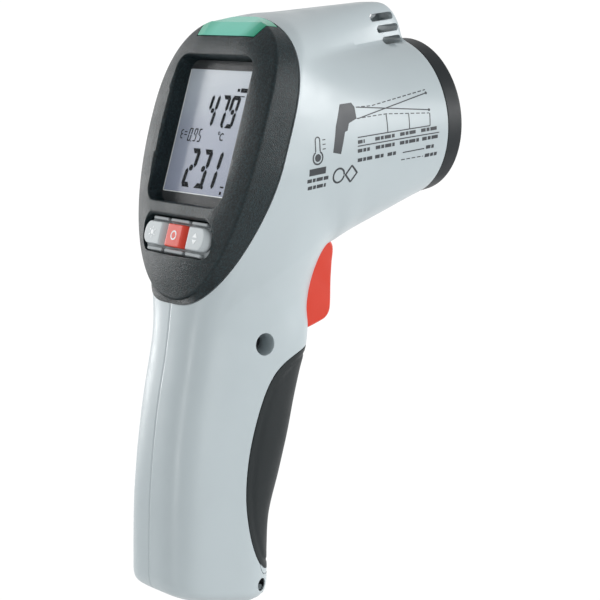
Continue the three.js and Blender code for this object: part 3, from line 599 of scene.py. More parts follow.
def build_bezel():
    width, v = joint_outline(200)
    t = v - BEZEL["centre"]
    reach = np.where(t > 0, BEZEL["top"] + 2.4, -t.min())
    edge_v = BEZEL["centre"] + np.clip(t / reach, -1, 1) * np.where(t > 0, BEZEL["top"], RIM_BOTTOM)
    edge_t = (edge_v - BEZEL["centre"]) / np.where(edge_v > BEZEL["centre"], BEZEL["top"], RIM_BOTTOM)
    edge = 3.3 - 2.3 * edge_t**2
    joint = np.stack([width, v, joint_level(v) + GAP], 1)
    rim_x, rim_v = bezel_outline(edge_v, 1.0)
    rim = np.stack([rim_x, rim_v, edge - 1.0], 1)
    half_rings = []
    for inward, share in ((0.35, 0.0), (0.08, 0.03), (0.0, 0.08)):
        ring = joint + (rim - joint) * share
        ring[:, 0] -= inward * np.minimum(ring[:, 0] / 3, 1)
        half_rings.append(ring)
    for share in (0.3, 0.55, 0.8, 0.95):
        half_rings.append(joint + (rim - joint) * share)
    for scale, drop in ((1.0, 1.0), (0.999, 0.7), (0.995, 0.4), (0.989, 0.18), (0.98, 0.03)):
        x, ring_v = bezel_outline(edge_v, scale)
        half_rings.append(np.stack([x, ring_v, edge - drop], 1))
    for scale in (0.965, 0.945, 0.92, 0.89, 0.86, 0.82, 0.78, 0.74, 0.7):
        x, ring_v = bezel_outline(edge_v, scale)
        rise = math.sin(math.pi / 2 * (0.98 - scale) / 0.28)
        half_rings.append(np.stack([x, ring_v, edge + (4.9 - edge) * rise], 1))
    rings = []
    for half in half_rings:
        mirrored = half[::-1] * [-1, 1, 1]
        rings.append(display_points(np.vstack([half, mirrored])))
    count = len(rings[0])
    last = len(rings) - 1
    faces = bands([(ring, ring + 1) for ring in range(last)], count)
    for base in (0, last * count):
        for step in range(count // 2 - 1):
            faces.append((base + step, base + step + 1, base + count - 2 - step, base + count - 1 - step))
    return outward(make_object("bezel", np.vstack(rings), faces))


ALARM_WINDOW = [(-15, 29.4), (15, 29.4), (17.6, 36), (17.6, 46), (-17.6, 46), (-17.6, 36)]
RECESS = rounded_outline(-20.2, 20.2, -23.3, 22.8, 4.5, 10)
KEY_RECESS = rounded_outline(-18.6, 18.6, -39.3, -27.7, 4.6, 10)


def cut_bezel(bezel):
    heights = BEZEL["centre"] + np.linspace(BEZEL["top"] - 0.3, -43.5, 40)
    x, v = bezel_outline(heights, 0.9)
    half = np.stack([x, v], 1)
    pocket = display_loft("pocket", np.vstack([half, half[::-1] * [-1, 1]]), [(-14, 0), (2.7, 0)])
    keep = [
        display_bar("keep", rectangle(-22.6, 22.6, -25.4, 25.4), (-3, 4)),
        display_loft("keep", rounded_outline(-20.2, 20.2, -40.9, -26.1, 5, 8), [(-1, 0), (4, 0)]),
    ]
    screws = [(side * BOARD_SCREW[0], BOARD_SCREW[1]) for side in (-1, 1)]
    keep += [display_rod("keep", 2.3, -9.7, 4, *screw) for screw in screws]
    boolean(pocket, "DIFFERENCE", keep)
    flare = [(-12, 0), (4.05, 0), (4.45, 0.12), (4.75, 0.38), (5.0, 0.75), (6.0, 2.2)]
    key_flare = [(-12, 0), (3.9, 0), (4.3, 0.12), (4.6, 0.35), (4.9, 0.75), (6, 2.2)]
    alarm = [(x + math.copysign(GAP, x), v - GAP if v < 30 else v) for x, v in ALARM_WINDOW]
    tools = [
        pocket,
        display_loft("recess", RECESS, flare),
        display_loft("key_recess", KEY_RECESS, key_flare),
        display_loft("alarm", alarm, [(-3.1, 0), (20, 0)]),
    ]
    tools += [display_rod("screw", 1.2, -14, 1, *screw) for screw in screws]
    return boolean(bezel, "DIFFERENCE", tools)


# ---------------------------------------------------------------- materials
def add_node(tree, kind, values):
    """A shader node; each of values is a number or colour for an input, or a socket to link to it."""
    return fill(tree, tree.nodes.new("ShaderNode" + kind), values)


def fill(tree, node, values):
    for key, value in values.items():
        if isinstance(value, bpy.types.NodeSocket):
            tree.links.new(value, node.inputs[key])
        else:
            node.inputs[key].default_value = value
    return node


def node_material(name):
    material = bpy.data.materials.new(name)
    material.use_nodes = True
    tree = material.node_tree
    return material, tree, tree.nodes["Principled BSDF"], add_node(tree, "TexCoord", {}).outputs["Object"]


def noise(tree, vector, scale, detail=3.0, roughness=0.5):
    values = {"Scale": scale, "Detail": detail, "Roughness": roughness, "Vector": vector}
    return add_node(tree, "TexNoise", values).outputs["Fac"]


def spread(tree, value, low, high, from_low=0.3, from_high=0.7):
    values = {"From Min": from_low, "From Max": from_high, "To Min": low, "To Max": high, "Value": value}
    return add_node(tree, "MapRange", values).outputs["Result"]


def mix(tree, factor, first, second):
    """Two colours mixed; each is linear (r, g, b) or a socket."""
    node = tree.nodes.new("ShaderNodeMix")
    node.data_type = "RGBA"
    first, second = ((*c, 1) if isinstance(c, tuple) else c for c in (first, second))
    return fill(tree, node, {"Factor": factor, 6: first, 7: second}).outputs[2]


def srgb(r, g, b):
    """0-255 display values to linear."""
    return tuple(((c / 255 + 0.055) / 1.055) ** 2.4 if c > 10 else c / 255 / 12.92 for c in (r, g, b))


def shade(colour, factor):
    return tuple(min(c * factor, 1) for c in colour)


def moulded(name, colour, roughness, grain=2600.0, grain_depth=0.00003, contrast=0.04, speckle=0.0,
            coat=0.0, specular=0.5):
    """Moulded plastic or rubber: a slightly mottled colour, uneven gloss and a fine grain."""
    material, tree, shader, vector = node_material(name)
    broad = spread(tree, noise(tree, vector, 45, 3), 0, 1)
    base = mix(tree, broad, shade(colour, 1 - contrast), shade(colour, 1 + contrast))
    if speckle:
        dots = spread(tree, noise(tree, vector, grain * 0.55, 2, 0.7), 0, 1, 0.42, 0.66)
        base = mix(tree, dots, base, shade(colour, 1 + speckle))
    bump = add_node(tree, "Bump", {"Strength": 0.6, "Distance": grain_depth,
                                   "Height": noise(tree, vector, grain, 2, 0.6)})
    fill(tree, shader, {
        "Base Color": base,
        "Roughness": spread(tree, noise(tree, vector, 160, 4), roughness - 0.05, roughness + 0.05),
        "Normal": bump.outputs["Normal"],
        "Specular IOR Level": specular,
        "Coat Weight": coat,
        "Coat Roughness": 0.12,
    })
    return material


def metal(name, colour, roughness, streaks=(400, 400, 30)):
    """Turned or drawn metal with fine streaks."""
    material, tree, shader, vector = node_material(name)
    stretch = add_node(tree, "Mapping", {"Scale": streaks, "Vector": vector})
    lines = noise(tree, stretch.outputs["Vector"], 6, 4, 0.6)
    fill(tree, shader, {
        "Base Color": mix(tree, spread(tree, lines, 0, 1), shade(colour, 0.86), shade(colour, 1.06)),
        "Roughness": spread(tree, lines, roughness - 0.06, roughness + 0.1),
        "Metallic": 1.0,
    })
    return material


def circuit_board(name):
    """Green solder mask over copper tracks, with the glass weave faintly showing."""
    material, tree, shader, vector = node_material(name)
    bricks = add_node(tree, "TexBrick", {
        "Scale": 420, "Mortar Size": 0.06, "Vector": vector,
        "Color1": (*srgb(18, 84, 46), 1), "Color2": (*srgb(22, 96, 54), 1), "Mortar": (*srgb(44, 128, 74), 1),
    })
    weave = spread(tree, noise(tree, vector, 300, 3), 0, 0.5)
    fill(tree, shader, {
        "Base Color": mix(tree, weave, bricks.outputs["Color"], srgb(14, 66, 38)),
        "Roughness": spread(tree, noise(tree, vector, 900, 3), 0.28, 0.45),
    })
    return material


def graded(name, stops, low, high, roughness, axis="Z", grain=900.0):
    """A colour that changes along one axis of the row frame, between two coordinates in metres."""
    material, tree, shader, vector = node_material(name)
    split = add_node(tree, "SeparateXYZ", {"Vector": vector})
    wander = add_node(tree, "Math", {0: spread(tree, split.outputs[axis], 0, 1, low, high),
                                     1: spread(tree, noise(tree, vector, 60, 2), -0.05, 0.05)})
    wander.operation = "ADD"
    ramp = add_node(tree, "ValToRGB", {"Fac": wander.outputs["Value"]})
    elements = ramp.color_ramp.elements
    for element, (position, colour) in zip(elements, (stops[0], stops[-1])):
        element.position, element.color = position, (*colour, 1)
    for position, colour in stops[1:-1]:
        elements.new(position).color = (*colour, 1)
    fill(tree, shader, {
        "Base Color": ramp.outputs["Color"],
        "Roughness": spread(tree, noise(tree, vector, grain, 3), roughness - 0.04, roughness + 0.04),
    })
    return material


def clear_window(name):
    """The thin pane over the display, almost clear."""
    material, tree, shader, vector = node_material(name)
    tint = spread(tree, noise(tree, vector, 90, 3), 0, 1)
    fill(tree, shader, {
        "Base Color": mix(tree, tint, srgb(196, 204, 210), srgb(206, 214, 220)),
        "Roughness": 0.06, "Alpha": 0.03, "Specular IOR Level": 0.2,
    })
    return material


# Painted shade on the alarm window: pale in the middle, darker green towards both ends, darkest at the right
# end.
MINT, MINT_SHADED_ENDS = srgb(116, 212, 190), (srgb(34, 168, 132), srgb(26, 148, 112))
MINT_STOPS_WITH_PAINTED_SHADE = [(0.0, MINT_SHADED_ENDS[0]), (0.3, MINT), (0.7, MINT), (1.0, MINT_SHADED_ENDS[1])]
# Painted light on the display face: lighter towards the top, darker and bluer towards the bottom.
LCD_STOPS_WITH_PAINTED_LIGHT = [(0.0, srgb(146, 154, 176)), (0.55, srgb(156, 165, 182)), (1.0, srgb(196, 206, 214))]
LOOKS = {
    "housing": moulded("satin_grey_abs", srgb(183, 194, 198), 0.34, 3200, 0.000012, 0.018),
    "bezel": moulded("grained_dark_abs", srgb(10, 22, 25), 0.4, 2600, 0.0003, 0.08, speckle=2.4,
                     specular=0.33),
    "ring": moulded("dark_ring_abs", srgb(20, 27, 31), 0.5, 2600, 0.00004, 0.04, specular=0.36),
    "grip": moulded("soft_touch_black", srgb(12, 23, 26), 0.5, 3000, 0.00003, 0.06, specular=0.35),
    "orange": moulded("orange_plastic", srgb(214, 56, 32), 0.34, 2400, 0.00001, 0.02),
    "key": moulded("grey_key_plastic", srgb(184, 192, 195), 0.4, 2600, 0.00002, 0.02),
    "silicone": moulded("grey_silicone", srgb(160, 167, 170), 0.62, 2200, 0.00003, 0.05),
    "black": moulded("black_moulding", srgb(26, 28, 31), 0.45, 2400, 0.00003, 0.08),
    "cream": moulded("light_guide", srgb(232, 236, 236), 0.3, 2000, 0.00001, 0.02),
    "led": moulded("led_package", srgb(236, 228, 190), 0.25, 2000, 0.00001, 0.03),
    "plunger": moulded("red_plunger", srgb(178, 34, 28), 0.35, 2400, 0.00001, 0.04),
    "battery": moulded("battery_sleeve", srgb(40, 44, 50), 0.32, 2000, 0.00001, 0.06, coat=0.3),
    "lead_red": moulded("red_insulation", srgb(184, 28, 22), 0.45, 3000, 0.00002, 0.05),
    "lead_black": moulded("black_insulation", srgb(20, 20, 22), 0.45, 3000, 0.00002, 0.05),
    "print": moulded("grey_print", srgb(48, 53, 58), 0.45, 3000, 0.00001, 0.05),
    "legend": moulded("white_legend", srgb(242, 246, 248), 0.5, 3000, 0.00001, 0.02),
    "segment": moulded("display_segment", srgb(2, 4, 7), 0.85, 3000, 0.000005, 0.05, specular=0.02),
    # the alarm window, with painted shade that darkens it towards both ends
    "mint": graded("mint_window_painted_shade", MINT_STOPS_WITH_PAINTED_SHADE, -0.0165, 0.0165, 0.2, "X", 1600),
    "mask": moulded("display_mask", srgb(8, 12, 13), 0.35, 1500, 0.00001, 0.08, specular=0.2),
    # the display face, with painted light that makes it lighter towards the top
    "lcd": graded("lcd_face_painted_light", LCD_STOPS_WITH_PAINTED_LIGHT, 0.120, 0.164, 0.22),
    "steel": metal("zinc_steel", (0.62, 0.63, 0.64), 0.3),
    "dark_steel": metal("blackened_steel", (0.10, 0.10, 0.11), 0.4),
    "brass": metal("turned_brass", (0.72, 0.54, 0.25), 0.3),
    "germanium": metal("coated_germanium", (0.16, 0.15, 0.19), 0.12, (60, 60, 60)),
    "board": circuit_board("green_board"),
    "window": clear_window("clear_pane"),
}


# ---------------------------------------------------------------- the small pieces
PANE = rounded_outline(-19.9, 19.9, -23, 22.5, 4.2, 8)
KEY_SPAN = (KEY_ROW - KEY_HALF, KEY_ROW + KEY_HALF)
KEY_OUTLINE = rounded_outline(-17.7, 17.7, *KEY_SPAN, 3.55, 14)


def build_key(place):
    """A key with a rolled top edge: place is -1, 0 or 1 for left, middle or right."""
    if place == 0:
        outline = rounded_outline(-5.5, 5.5, *KEY_SPAN, 0.7, 5)
    else:
        near = [(x, v) for x, v in KEY_OUTLINE if x * place > 6]
        arc = sorted(near, key=lambda p: math.atan2(p[1] - KEY_ROW, (p[0] - place * 10) * place))
        corner = rounded_outline(5.9, 9, *KEY_SPAN, 0.5, 4)
        inner = [(x * place, v) for x, v in corner if x < 7]
        inner.sort(key=lambda p: -p[1])
        outline = arc + inner
    middle, half = (0.0, 5.5) if place == 0 else (place * 11.8, 5.9)
    rings = []
    for height, slope, grown in (
        (2.68, 0, -0.05), (3.1, 0.05, -0.02), (3.6, 0.3, -0.02), (4.3, 0.95, -0.06), (4.6, 1.2, -0.14),
        (4.76, 1.4, -0.28), (4.84, 1.7, -0.46),
    ):
        ring = offset_outline(outline, grown)
        ring[:, 0] = middle + (ring[:, 0] - middle) * (1 - slope / half)
        rings.append(display_points([(x, v, height) for x, v in ring]))
    return loft("key", rings)


def build_keypad_mat():
    plate = display_loft("mat", rounded_outline(-18.3, 18.3, -39, -28, 4.3, 8),
                         [(0.6, 0), (1.8, 0), (1.95, -0.1), (2.0, -0.3)])
    posts = [display_rod("post", 2.4, -9.6, 1, x, KEY_ROW) for x in (-12, 0, 12)]
    lips = []
    for low, high in ((-29.25, -28.15), (-38.8, -37.6)):
        for start, end in ((-14.6, -6.4), (-5.0, 5.0), (6.4, 14.6)):
            outline = rounded_outline(start, end, low, high, 0.5, 4)
            lips.append(display_loft("lip", outline, [(1.5, 0), (3.3, 0), (3.6, -0.12), (3.72, -0.3)]))
    return boolean(plate, "UNION", posts + lips)


def strokes(name, polygons, low, high):
    """Flat polygons on the display, given as lists of (x, v), made into one thin solid."""
    points, faces = [], []
    for polygon in polygons:
        count = len(polygon)
        base = len(points)
        for level in (low, high):
            points += list(display_points([(x, v, level) for x, v in polygon]))
        faces.append(tuple(range(base + count - 1, base - 1, -1)))
        faces.append(tuple(range(base + count, base + 2 * count)))
        faces += [tuple(base + corner for corner in face) for face in bands([(0, 1)], count)]
    return outward(make_object(name, points, faces))


SEGMENTS_OF = {
    "0": "abcdef", "1": "bc", "2": "abged", "3": "abgcd", "4": "fgbc", "5": "afgcd", "7": "abc",
    "9": "abcdfg",
}


def digit(figure, x, v, width, height, stroke, slant=0.15):
    """The polygons of one segmented figure whose lower left corner is at (x, v)."""
    half = height / 2
    gap = 0.08 * stroke
    point = 0.55 * stroke

    def upright(centre, low, high):
        low, high = low + gap, high - gap
        return [(centre - stroke / 2, low + point), (centre, low), (centre + stroke / 2, low + point),
                (centre + stroke / 2, high - point), (centre, high), (centre - stroke / 2, high - point)]

    def bar(level, inwards):
        return [(0.35 * stroke, level), (width - 0.35 * stroke, level),
                (width - 1.2 * stroke, level + inwards * stroke), (1.2 * stroke, level + inwards * stroke)]

    left, right = stroke / 2, width - stroke / 2
    bottom, top = 0.1 * stroke, height - 0.1 * stroke
    shapes = {
        "a": bar(height, -1), "d": bar(0, 1), "g": circle(width / 2, half, 0.62 * stroke, 12),
        "f": upright(left, half, top), "b": upright(right, half, top),
        "e": upright(left, bottom, half), "c": upright(right, bottom, half),
    }
    return [[(x + a + slant * b, v + b) for a, b in shapes[key]] for key in SEGMENTS_OF[figure]]


def disc(x, v, radius):
    return circle(x, v, radius, 14)


def arc_band(x, v, radius, thick, start, end, steps=12):
    angles = np.radians(np.linspace(start, end, steps + 1))
    outside = [(x + radius * math.cos(a), v + radius * math.sin(a)) for a in angles]
    inner = radius - thick
    inside = [(x + inner * math.cos(a), v + inner * math.sin(a)) for a in angles[::-1]]
    return outside + inside


def display_figures():
    shapes = []
    for figures, places, v, width, height, stroke in (
        ("479", (-6.1, -0.6, 4.6), 1.7, 4.5, 10.2, 1.35),
        ("231", (-10.8, -4.2, 1.6), -17.6, 5.1, 12.3, 1.62),
        ("095", (-13.2, -10.4, -7.9), -3.3, 1.7, 4.2, 0.4),
    ):
        for figure, x in zip(figures, places):
            shapes += digit(figure, x, v, width, height, stroke)
    shapes += [disc(3.95, 2.1, 0.45), disc(0.9, -17.2, 0.6), disc(-10.9, -3.2, 0.22)]
    shapes += [rectangle(-15.2, -13.9, -0.6, -0.3), rectangle(-15.2, -13.9, -1.5, -1.2)]
    shapes += [arc_band(-16.4, -0.6, 0.85, 0.35, 60, 290), arc_band(-16.4, -1.9, 0.85, 0.35, 70, 300)]
    shapes += [arc_band(3.3, 0.0, 0.55, 0.25, 0, 350), arc_band(5.2, -1.1, 1.25, 0.4, 50, 310)]
    for bar in (
        (7.7, 8.9, 13.2, 14.1), (9.5, 12.8, 13.0, 14.3), (10.4, 12.1, 11.6, 11.9),
        (10.3, 12.2, -16.6, -16.1), (10.6, 11.6, -18.7, -17.7),
    ):
        shapes.append(rectangle(*bar))
    return shapes


def key_legends():
    """Plain marks instead of words: a spot with rays, a ring, and a pair of arrowheads."""
    spot = (-11.9, KEY_ROW)
    rays = [turned_bar(spot, math.radians(60 * step + 30), 1.15, 1.85, 0.16) for step in range(6)]
    ring = [arc_band(0, KEY_ROW, 1.5, 0.45, 0, 354, 24)]
    arrowheads = [[(10.1, KEY_ROW + 0.35), (12.5, KEY_ROW + 0.35), (11.3, KEY_ROW + 1.7)],
                  [(10.1, KEY_ROW - 0.35), (11.3, KEY_ROW - 1.7), (12.5, KEY_ROW - 0.35)]]
    return [disc(*spot, 0.75)] + rays, ring, arrowheads


TRIGGER_FRONT = np.array([
    (-57.0, -33.4), (-53.4, -29.4), (-50, -27.4), (-46.6, -29.2), (-43.4, -32.6), (-41.0, -36.6),
    (-41.9, -42), (-42.8, -47.5), (-43.5, -53.5), (-44.2, -57), (-45.8, -59), (-48, -59.9), (-54, -61.2),
    (-56.6, -60.4), (-57.6, -56), (-57.4, -50), (-56.6, -43), (-57.4, -38),
])


def build_trigger():
    front = catmull(TRIGGER_FRONT, np.linspace(0, len(TRIGGER_FRONT) - 1, 96))
    outline = np.vstack([front, [(-66.6, -37.6), (-66.6, -34)]])
    rings = []
    rolled = [(-6.3, 1.1), (-6.18, 0.7), (-5.9, 0.36), (-5.5, 0.14), (-5.0, 0.03), (-4.4, 0.0)]
    middle = [(x, 0.0) for x in (-3, -1.5, 0, 1.5, 3)]
    for x, inward in rolled + middle + [(-x, inward) for x, inward in rolled[::-1]]:
        rings.append([(x, y, z) for y, z in offset_outline(outline, -inward)])
    obj = loft("trigger_piece", rings)
    return boolean(obj, "DIFFERENCE", [rod("pin", "x", 1.62, -FAR, FAR, TRIGGER_PIVOT)])


def grip_relief(x, y, z):
    """A shallow groove just inside the grip's edge leaves a raised lip round it."""
    away = into_grip(y, z)
    return 0.22 * np.exp(-((away - 2.4) / 0.6) ** 2)


def build_grip():
    grip = body_form("door_grip_piece", *DOOR_SECTIONS, 190, 40, relief=grip_relief)
    core = body_form("core", *DOOR_CORE_SECTIONS, 90, 26, inset=1.3)
    boolean(grip, "DIFFERENCE", [core])
    return boolean(grip, "INTERSECT", [door_region(0)])


def build_hinge_caps():
    """The round ends of the door's hinge, which close the sides of the swing room."""
    caps = rod("hinge_caps", "x", 3.35, -FAR, FAR, DOOR_PIVOT, 80)
    boolean(caps, "INTERSECT", [body_form("clip", *DOOR_SECTIONS, 190, 40, inset=0.04)])
    middle = box("middle", (-9.6, -90, -140), (9.6, -70, -120))
    pin = rod("pin", "x", HINGE_BORE, -FAR, FAR, DOOR_PIVOT)
    return boolean(caps, "DIFFERENCE", [middle, door_region(0.02), pin])


def build_lanyard_painted_shade():
    """Painted shade: a black lining just inside the mouth of the lanyard hole, standing in for the shade
    inside it; it is open to the leg that leads down.
    """
    fit, wall = 0.03, 0.3
    bore_radius = LANYARD_RADIUS - wall
    shade_lining = rod("lanyard_painted_shade", "x", LANYARD_RADIUS - fit, LANYARD_DEPTH + fit, FAR, LANYARD)
    bore = rod("bore", "x", bore_radius, LANYARD_DEPTH + wall, FAR, LANYARD)
    leg = rod("leg", "z", bore_radius, BELOW_FOOT, LANYARD[1], (LANYARD_LEG, LANYARD[0]), 32)
    boolean(shade_lining, "INTERSECT", [body_form("clip", 16, 26, 60, 20, inset=0.45)])
    return boolean(shade_lining, "DIFFERENCE", [bore, leg])


def build_carrier():
    shell = body_form("battery_door_piece", *DOOR_SECTIONS, 90, 26, inset=1.6)
    core = body_form("core", *DOOR_CORE_SECTIONS, 90, 26, inset=2.7)
    boolean(shell, "DIFFERENCE", [core])
    boolean(shell, "INTERSECT", [door_region(0)])
    boolean(shell, "UNION", [rod("knuckle", "x", 2.0, -3.5, 3.5, DOOR_PIVOT)])
    tools = [rod("pin", "x", HINGE_BORE, -FAR, FAR, DOOR_PIVOT)]
    for side in (-1, 1):
        low, high = on_side(side, 3.6, 6.8)
        tools.append(box("room", (low, -86, -134), (high, DOOR_PIVOT[0] + 2.1, -127.8)))
    return boolean(shell, "DIFFERENCE", tools)


def build_nose_ring():
    corners = [(21.2, -0.9), (22.2, 0), (24.2, 0), (25.0, -0.8), (25.45, -6.7), (21.2, -6.7)]
    return turned("nose_ring_piece", rounded_profile(corners, 0.45), 144)


def build_front_plate():
    corners = [(0.0, -3.6), (20.4, -3.6), (20.4, -13), (18.9, -13), (18.9, -5.6), (0.0, -5.6)]
    plate = turned("front_plate_piece", corners, 96)
    tools = [rod("hole", "y", 8.2, -8, 0, (0, 0), 64)]
    tools += [rod("hole", "y", 2.6, -8, 0, (0, side * 14.2), 32) for side in (-1, 1)]
    for radius in (11.2, 16.6, 18.4):
        tools.append(turned("groove", rectangle(radius - 0.25, radius + 0.25, -2, -3.85), 72))
    return boolean(plate, "DIFFERENCE", tools)


def build_lens():
    profile = [(0.0, -8.2)] + [(r, -8.2 - 1.15 * (r / 8.1) ** 2) for r in np.linspace(0.8, 8.1, 12)]
    profile += [(8.3, -9.6), (8.3, -10.8), (0.0, -10.8)]
    return turned("lens_piece", profile, 72)


def build_screw():
    profile = [
        (0.0, 10.75), (1.6, 10.6), (2.5, 10.2), (2.95, 9.6), (3.0, 8.8), (1.45, 8.8), (1.45, -9.5),
        (0.0, -9.5),
    ]
    head = turned("screw_piece", profile, 40, SCREW, "x")
    slots = [side_plate("slot", turned_bar(SCREW, turn, 1.9, -1.9, 0.32), 9.5, 12)
             for turn in (0.3, 0.3 + math.pi / 2)]
    return boolean(head, "DIFFERENCE", slots)


# ---------------------------------------------------------------- the print on the side
def ribbon(points, width):
    """A line of the print as a closed outline of (y, z)."""
    points = np.asarray(points, float)
    along = np.gradient(points, axis=0)
    along /= np.linalg.norm(along, axis=1)[:, None]
    normal = np.stack([-along[:, 1], along[:, 0]], 1) * width / 2
    return list(map(tuple, np.vstack([points + normal, (points - normal)[::-1]])))


def dashes(points, width=0.3, dash=1.5, space=0.75):
    points = np.asarray(points, float)
    steps = np.concatenate([[0], np.cumsum(np.linalg.norm(np.diff(points, axis=0), axis=1))])
    out = []
    start = 0.0
    while start < steps[-1] - 0.2:
        at = np.linspace(start, min(start + dash, steps[-1]), 3)
        out.append(ribbon(np.stack([np.interp(at, steps, column) for column in points.T], 1), width))
        start += dash + space
    return out


def side_print():
    shapes = [[
        (-50.6, 10.6), (-45.7, 10.5), (-44.7, 9.0), (-44.6, 5.5), (-47.9, 4.5), (-48.7, 2.4), (-49.8, 2.1),
        (-51.8, -4.4), (-55, -3.5), (-53.3, 4.4),
    ]]
    shapes += dashes([(-44.1, 8.9), (-37.6, 8.5), (-13.9, 10.5)])
    shapes += dashes([(-44.5, 5.5), (-32.1, 5.3), (-14.5, 3.3)])
    for line in ([(-43.9, 5.4), (-14, 9.5)], [(-44.1, 8.9), (-14.3, 4.3)], [(-32.2, 5.1), (-32.2, -0.4)],
                 [(-22.9, 4.1), (-23.1, -0.5)], [(-14.2, 3.3), (-14.5, -0.7)], [(-44.7, -0.3), (-14.5, -0.7)],
                 [(-44.8, -3.0), (-10.8, -3.3)], [(-25.7, -7.7), (-16.7, -7.7)]):
        shapes.append(ribbon(line, 0.34))
    shapes += dashes([(-26.1, -10), (-16.8, -10.1)])
    shapes += [disc(-14, 9.5, 0.45), disc(-14.3, 4.3, 0.45)]
    for level, bars in (
        (-1.75, ((-44.7, -41.9), (-37.5, -29.4), (-27.1, -20.5), (-18.3, -11.0))),
        (-4.5, ((-44.8, -39.8), (-37.3, -29.4), (-27.2, -19.2), (-17.8, -10.6))),
        (-7.4, ((-44.7, -38.6), (-37.4, -33.6), (-32.2, -28))),
        (-7.4, ((-16.0, -12.7),)), (-10.1, ((-16.0, -10.9),)),
        (-10.9, ((-65.3, -56.4),)), (-13.1, ((-64.9, -57.2),)),
    ):
        for start, end in bars:
            at = start
            lengths = itertools.cycle((1.9, 1.2, 2.6))
            while at < end - 0.5:
                stop = min(at + next(lengths), end)
                shapes.append(rectangle(at, stop, level - 0.55, level + 0.55))
                at = stop + 0.4
    shapes.append(rectangle(-64.6, -57.8, -9.4, -7.3))
    # A plain outline of a thermometer tube, a ring and a diamond.
    shapes += [arc_band(-61.2, -4.2, 2.2, 0.5, 118, 422, 20), disc(-61.2, -4.2, 1.2)]
    shapes += [ribbon([(y, -2.3), (y, 1.2)], 0.4) for y in (-62.1, -60.3)]
    shapes += [arc_band(-61.2, 1.2, 1.1, 0.4, 0, 180, 10)]
    shapes += [ribbon([(-59.2, level), (-58.0, level)], 0.3) for level in (1.0, -0.4, -1.8)]
    shapes += [arc_band(-52.2, -11, 2.5, 0.6, 0, 352, 24)]
    for (y0, z0), (y1, z1) in (
        ((0, 1.04), (1, -0.04)), ((1, 0.04), (0, -1.04)), ((0, -1.04), (-1, 0.04)), ((-1, -0.04), (0, 1.04)),
    ):
        line = [(-47.0 + 2.5 * y0, -11.2 + 2.5 * z0), (-47.0 + 2.5 * y1, -11.2 + 2.5 * z1)]
        shapes.append(ribbon(line, 0.6))
    return shapes


def lay_on_side(name, shapes, tree):
    """Lays flat (y, z) shapes on the right side of the housing as one thin skin."""
    work = bmesh.new()
    for shape in shapes:
        corners = [work.verts.new((0, y, z)) for y, z in shape]
        work.faces.new(corners)
    work.normal_update()
    bmesh.ops.triangulate(work, faces=work.faces)
    for axis, low, high in ((1, -66, -10), (2, -14, 12)):
        for level in np.arange(low, high, 1.5):
            place, normal = [0, 0, 0], [0, 0, 0]
            place[axis], normal[axis] = float(level), 1
            everything = work.verts[:] + work.edges[:] + work.faces[:]
            bmesh.ops.bisect_plane(work, geom=everything, plane_co=place, plane_no=normal, dist=1e-5)
    for vertex in work.verts:
        hit = tree.ray_cast(Vector((60, vertex.co.y, vertex.co.z)), Vector((-1, 0, 0)))[0]
        vertex.co.x = hit.x if hit else 0
    bmesh.ops.recalc_face_normals(work, faces=work.faces)
    mesh = bpy.data.meshes.new(name)
    work.to_mesh(mesh)
    work.free()
    obj = linked(name, mesh)
    thick = obj.modifiers.new("thickness", "SOLIDIFY")
    thick.thickness = 0.1
    thick.offset = 0
    apply_modifiers(obj)
    return obj


# ---------------------------------------------------------------- putting it together
housing = build_housing()
right = linked("right_shell", housing.data.copy())
left = linked("left_shell", housing.data.copy())
bpy.data.objects.remove(housing)
boolean(right, "INTERSECT", [box("half", (SEAM, -200, -200), (FAR, 20, 80))])
boolean(left, "INTERSECT", [box("half", (-FAR, -200, -200), (-SEAM, 20, 80))])

bezel_whole = build_bezel()
alarm_piece = linked("alarm_window_piece", bezel_whole.data.copy())
boolean(alarm_piece, "INTERSECT", [display_loft("alarm", ALARM_WINDOW, [(-2.8, 0), (20, 0)])])
bezel_piece = cut_bezel(bezel_whole)
bezel_piece.name = "bezel_piece"

right_surface = BVHTree.FromObject(right, bpy.context.evaluated_depsgraph_get())
printing = lay_on_side("side_print", side_print(), right_surface)

PRINT_LEVEL = -0.58  # just above the face of the display
lcd = display_loft("lcd_piece", PANE, [(-3.0, 0), (-0.62, 0), (-0.6, -0.02)])
window = display_loft("window_piece", PANE, [(-0.3, 0), (-0.1, 0), (0.0, -0.15)])
mask_outline = rounded_outline(-19.88, 19.88, -22.98, 22.48, 4.2, 8)
mask = display_loft("display_mask", mask_outline, [(PRINT_LEVEL, 0), (-0.5, 0)])
mask_opening = rounded_outline(-30, 30, -19.6, 19.6, 0.3, 3)
boolean(mask, "DIFFERENCE", [display_loft("open", mask_opening, [(-2, 0), (2, 0)])])
figures = strokes("display_figures", display_figures(), PRINT_LEVEL, -0.52)
edges = [rectangle(-19.8, -19.5, -19.5, 19.4), rectangle(-19.5, 19.5, -19.55, -19.3)]
edge_line = strokes("display_edge", edges, PRINT_LEVEL, -0.5)
legends = [strokes("key_mark_" + side, shapes, 4.8, 4.9)
           for side, shapes in zip(("left", "middle", "right"), key_legends())]

